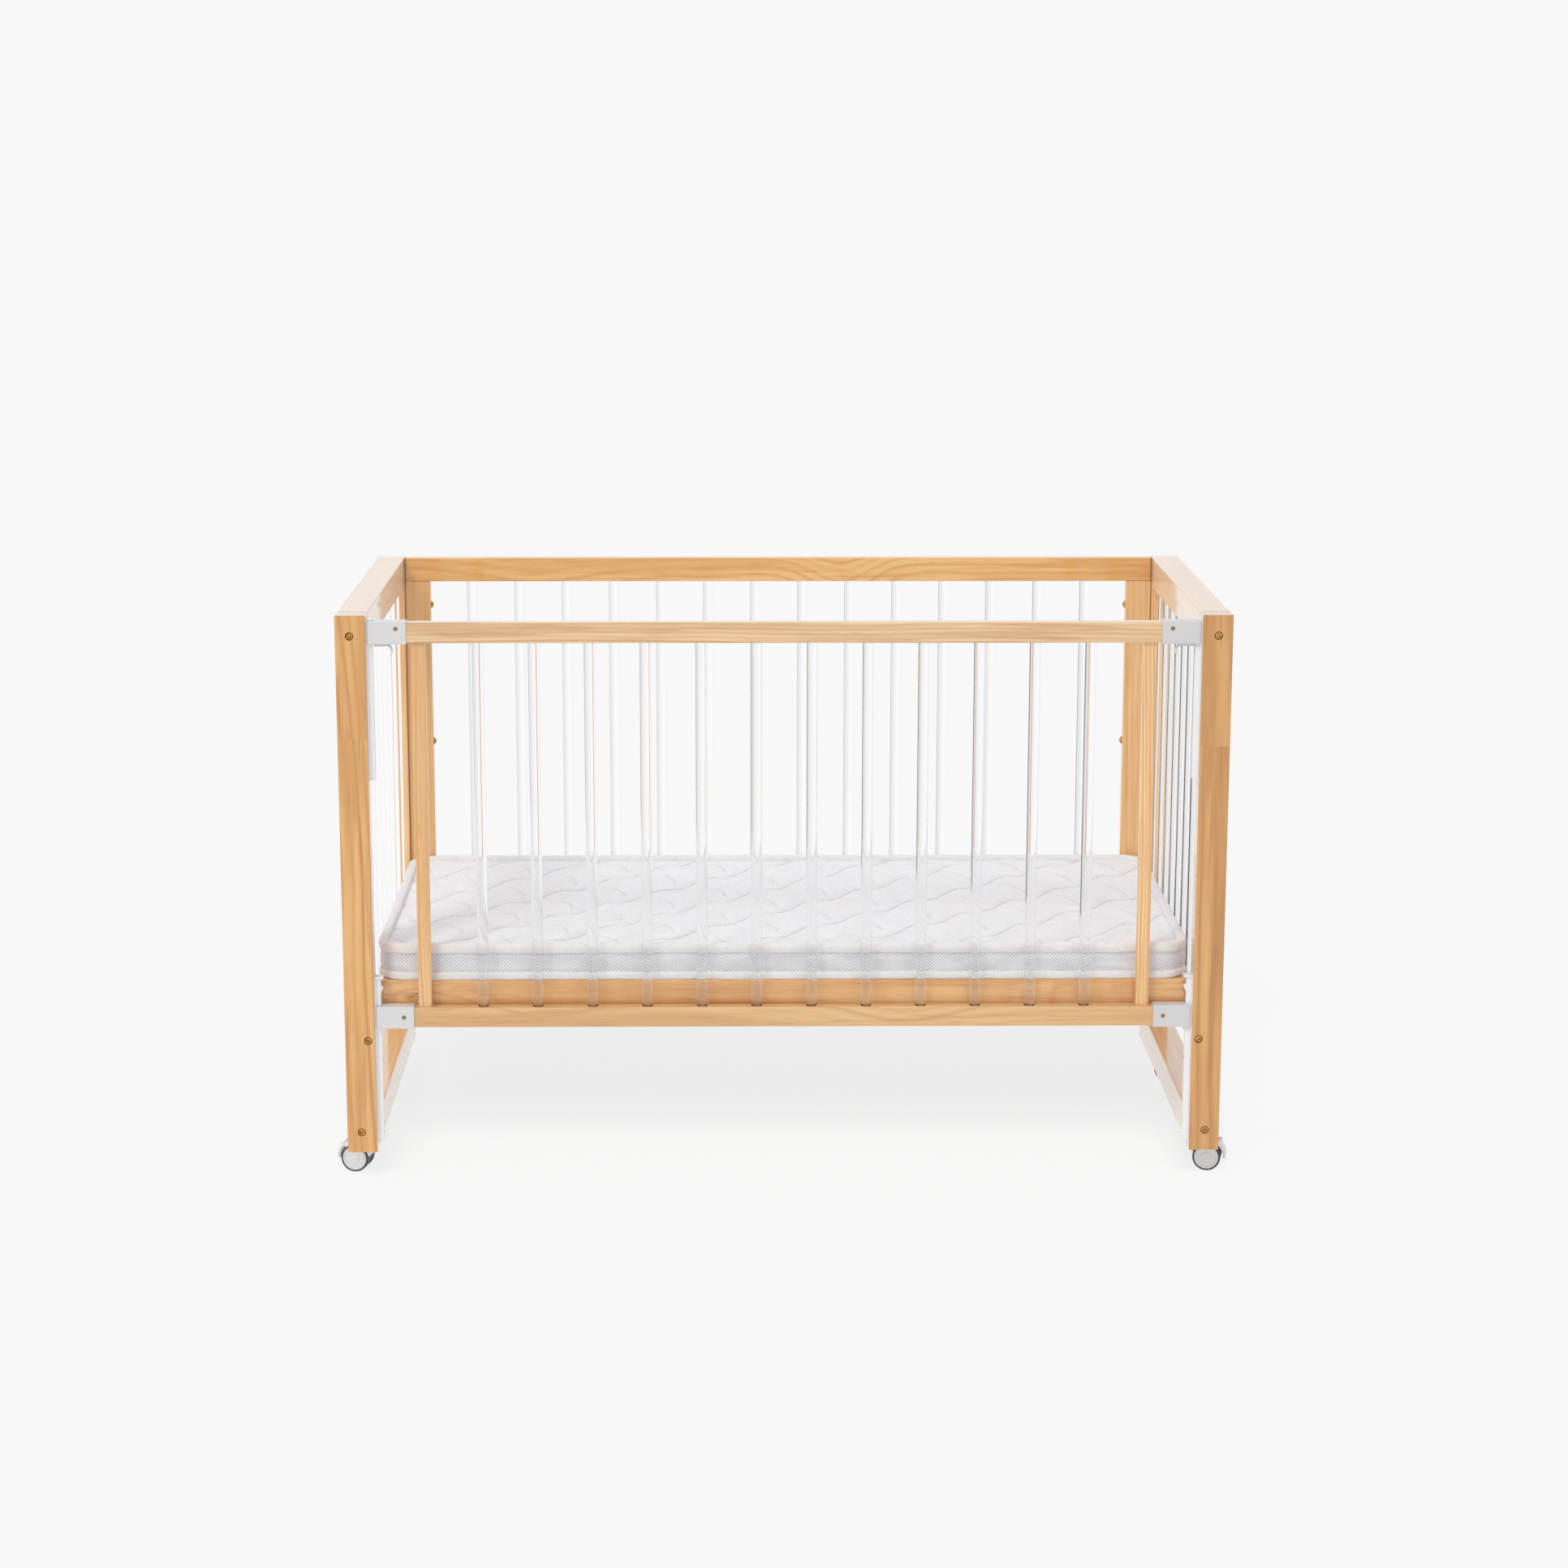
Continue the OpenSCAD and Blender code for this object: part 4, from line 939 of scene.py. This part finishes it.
def make_stitches(name, half_x, half_y, z, material, seed, lift):
    """A row of slanted stitches that hold the binding."""
    inset, proud = 0.0030, 0.00048
    points, normals, _ = rim(half_x - inset, half_y - inset, CORNER - inset, 0.0050, 16)
    rng = np.random.default_rng(seed)
    along = np.stack((-normals[:, 1], normals[:, 0]), 1)
    half_len, thick, sides = 0.0017, 0.00042, 6
    verts, faces = [], []
    for p, n, t in zip(points, normals, along):
        slant = 0.0009 + rng.uniform(-0.0002, 0.0002)
        level = z + lift * float(perk(p[1]))
        a = Vector((*(p - t * half_len), level - slant))
        b = Vector((*(p + t * half_len), level + slant))
        axis = (b - a).normalized()
        out = Vector((*n, 0))
        other = axis.cross(out).normalized()
        base = len(verts)
        verts.append(a)
        for share in (0.35, 0.65):
            centre = a.lerp(b, share) + out * proud
            for i in range(sides):
                q = 2 * math.pi * i / sides
                verts.append(centre + (out * math.cos(q) + other * math.sin(q)) * thick)
        verts.append(b)
        last = len(verts) - 1
        for i in range(sides):
            j = (i + 1) % sides
            faces.append((base, base + 1 + j, base + 1 + i))
            faces.append((base + 1 + i, base + 1 + j, base + 1 + sides + j, base + 1 + sides + i))
            faces.append((base + 1 + sides + i, base + 1 + sides + j, last))
    o = new_mesh(name, verts, faces, (material,))
    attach(o, "mattress")


# ---- latch springs -----------------------------------------------------------


def make_spring(side, steel):
    """A latch's coil spring. Its inner end sits in the bracket, and its outer end against the latch."""
    lo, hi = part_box("latch_spring_" + side)
    seat, push = (hi.x, lo.x) if side == "left" else (lo.x, hi.x)
    turns, per_turn, sides, wire = 7, 20, 8, 0.00034
    radius = (hi.z - lo.z) / 2 - wire
    inward = math.copysign(wire, seat - push)
    start, stop = seat - inward, push + inward
    centre_y, centre_z = (lo.y + hi.y) / 2, (lo.z + hi.z) / 2
    steps = turns * per_turn
    climb = (stop - start) / (2 * math.pi * turns)
    verts, faces = [], []
    for i in range(steps + 1):
        a = 2 * math.pi * i / per_turn
        out = Vector((0, math.cos(a), math.sin(a)))
        along = Vector((climb, -radius * math.sin(a), radius * math.cos(a))).normalized()
        other = along.cross(out)
        core = Vector((start + (stop - start) * i / steps, centre_y, centre_z)) + out * radius
        for k in range(sides):
            q = 2 * math.pi * k / sides
            verts.append(core + (out * math.cos(q) + other * math.sin(q)) * wire)
    for i in range(steps):
        for k in range(sides):
            j = (k + 1) % sides
            faces.append((i * sides + k, i * sides + j, (i + 1) * sides + j, (i + 1) * sides + k))
    faces.append(tuple(range(sides))[::-1])
    faces.append(tuple(steps * sides + k for k in range(sides)))
    o = new_mesh("latch_coil_" + side, verts, faces, (steel,))
    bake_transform(o)
    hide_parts("latch_spring_" + side)


# ---- studio ------------------------------------------------------------------


# The key lamp's strength, the floor lamp's strength, the paper's grey, and the backdrop's share near the cot.
SUN, FLOOR_SUN, FLOOR, GLOW = 0.80, 14.0, 0.268, 0.868
# The room's brightness in each direction. SIDE is the darkest part, square to the right.
ROOM_FRONT, ROOM_BACK, ROOM_RIGHT, ROOM_SIDE, ROOM_TOP = 0.76, 1.0, 0.80, 0.12, 0.93
FLOOR_REACH, FLOOR_SIDES = 90.0, 96
CLOTH_X, CLOTH_Y, CLOTH_Z = 2.2, (-0.5, 1.4), (-1.0, 2.2)  # where the black sheet that stands in for shade hangs, in metres


def make_room():
    """A room, brightest behind and above the cot and dark far to the right. The camera sees only white."""
    world = bpy.data.worlds.new("studio")
    bpy.context.scene.world = world
    s = Nodes(world)
    way = s.tree.nodes.new("ShaderNodeTexCoord").outputs["Generated"]
    across, ahead, _ = s.parts(s.vec("NORMALIZE", s.vec("MULTIPLY", way, (1, 1, 0))))
    height = s.parts(way)[2]
    light = s.blend(s.span(across, -0.25, 0.70), ROOM_BACK, ROOM_RIGHT)
    light = s.blend(s.span(across, 0.88, 0.98), light, ROOM_SIDE)
    light = s.blend(s.span(ahead, 0.2, -0.6), light, ROOM_FRONT)
    light = s.blend(s.span(height, 0.35, 0.9), light, ROOM_TOP)
    room = s.tree.nodes.new("ShaderNodeBackground")
    s.put(room.inputs["Color"], (0.985, 0.99, 1.0))
    s.put(room.inputs["Strength"], light)
    seen = s.tree.nodes.new("ShaderNodeBackground")
    s.put(seen.inputs["Color"], (PAPER, PAPER, PAPER))
    path = s.tree.nodes.new("ShaderNodeLightPath")
    s.cover(path.outputs["Is Camera Ray"], room, seen, s.tree.nodes.new("ShaderNodeOutputWorld"))


def make_sun(name, strength, width, towards):
    """A sun lamp in the given direction, as seen from the cot. Its width is in degrees."""
    sun = bpy.data.lights.new(name, "SUN")
    sun.energy, sun.angle, sun.color = strength, math.radians(width), (1.0, 0.985, 0.96)
    o = bpy.data.objects.new(name, sun)
    bpy.context.scene.collection.objects.link(o)
    o.rotation_mode = "QUATERNION"
    o.rotation_quaternion = Vector(towards).to_track_quat("Z", "Y")
    return o


def make_floor():
    """A floor that is paper near the cot, and turns into the backdrop's own white further off."""
    s = Shade("paper", "ShaderNodeBsdfDiffuse")
    weave = s.noise(s.place(), 3.0, 2.0)
    s.set(Color=s.grey(weave, FLOOR - 0.004, FLOOR + 0.004))
    glow = s.tree.nodes.new("ShaderNodeEmission")
    s.put(glow.inputs["Color"], (PAPER, PAPER, PAPER))
    s.cover(s.span(s.vec("LENGTH", s.place()), 1.2, 3.5, GLOW, 1.0), s.bsdf, glow, s.out)
    angles = [2 * math.pi * i / FLOOR_SIDES for i in range(FLOOR_SIDES)]
    edge = [(FLOOR_REACH * math.cos(a), FLOOR_REACH * math.sin(a), 0) for a in angles]
    floor = new_mesh("floor", edge, [range(FLOOR_SIDES)], (s.mat,))
    floor.visible_transmission = False  # the rods bend light from the room's own greys
    return floor


def make_shade_sheet():
    """A black sheet off to the right that stands in for the room's shade. Only rays bent by the rods meet it.
    It draws their dark edges.
    """
    s = Shade("black_shade_sheet", "ShaderNodeBsdfDiffuse")
    s.set(Color=s.grey(s.noise(s.place(), 40.0, 3.0), 0.008, 0.020))
    (near, far), (low, top) = CLOTH_Y, CLOTH_Z
    corners = [(CLOTH_X, y, z) for y, z in ((near, low), (far, low), (far, top), (near, top))]
    cloth = new_mesh("cloth", corners, [range(4)], (s.mat,))
    for ray in ("camera", "diffuse", "glossy", "shadow", "volume_scatter"):
        setattr(cloth, "visible_" + ray, False)
    return cloth


def make_studio():
    """The room with its floor and the black sheet that stands in for shade, a soft key from the front left,
    and a lamp for the floor alone.
    """
    make_room()
    make_sun("key", SUN, 14, (-0.38, -0.62, 0.78))
    floor_key = make_sun("floor_key", FLOOR_SUN, 24, (-0.04, -0.80, 0.58))
    floor, cloth = make_floor(), make_shade_sheet()
    lit = bpy.data.collections.new("lit_by_floor_key")
    lit.objects.link(floor)
    floor_key.light_linking.receiver_collection = lit
    bpy.context.scene.view_settings.view_transform = "Standard"


make_camera()
make_studio()
dress_timber()
dress_fittings()
make_mattress()
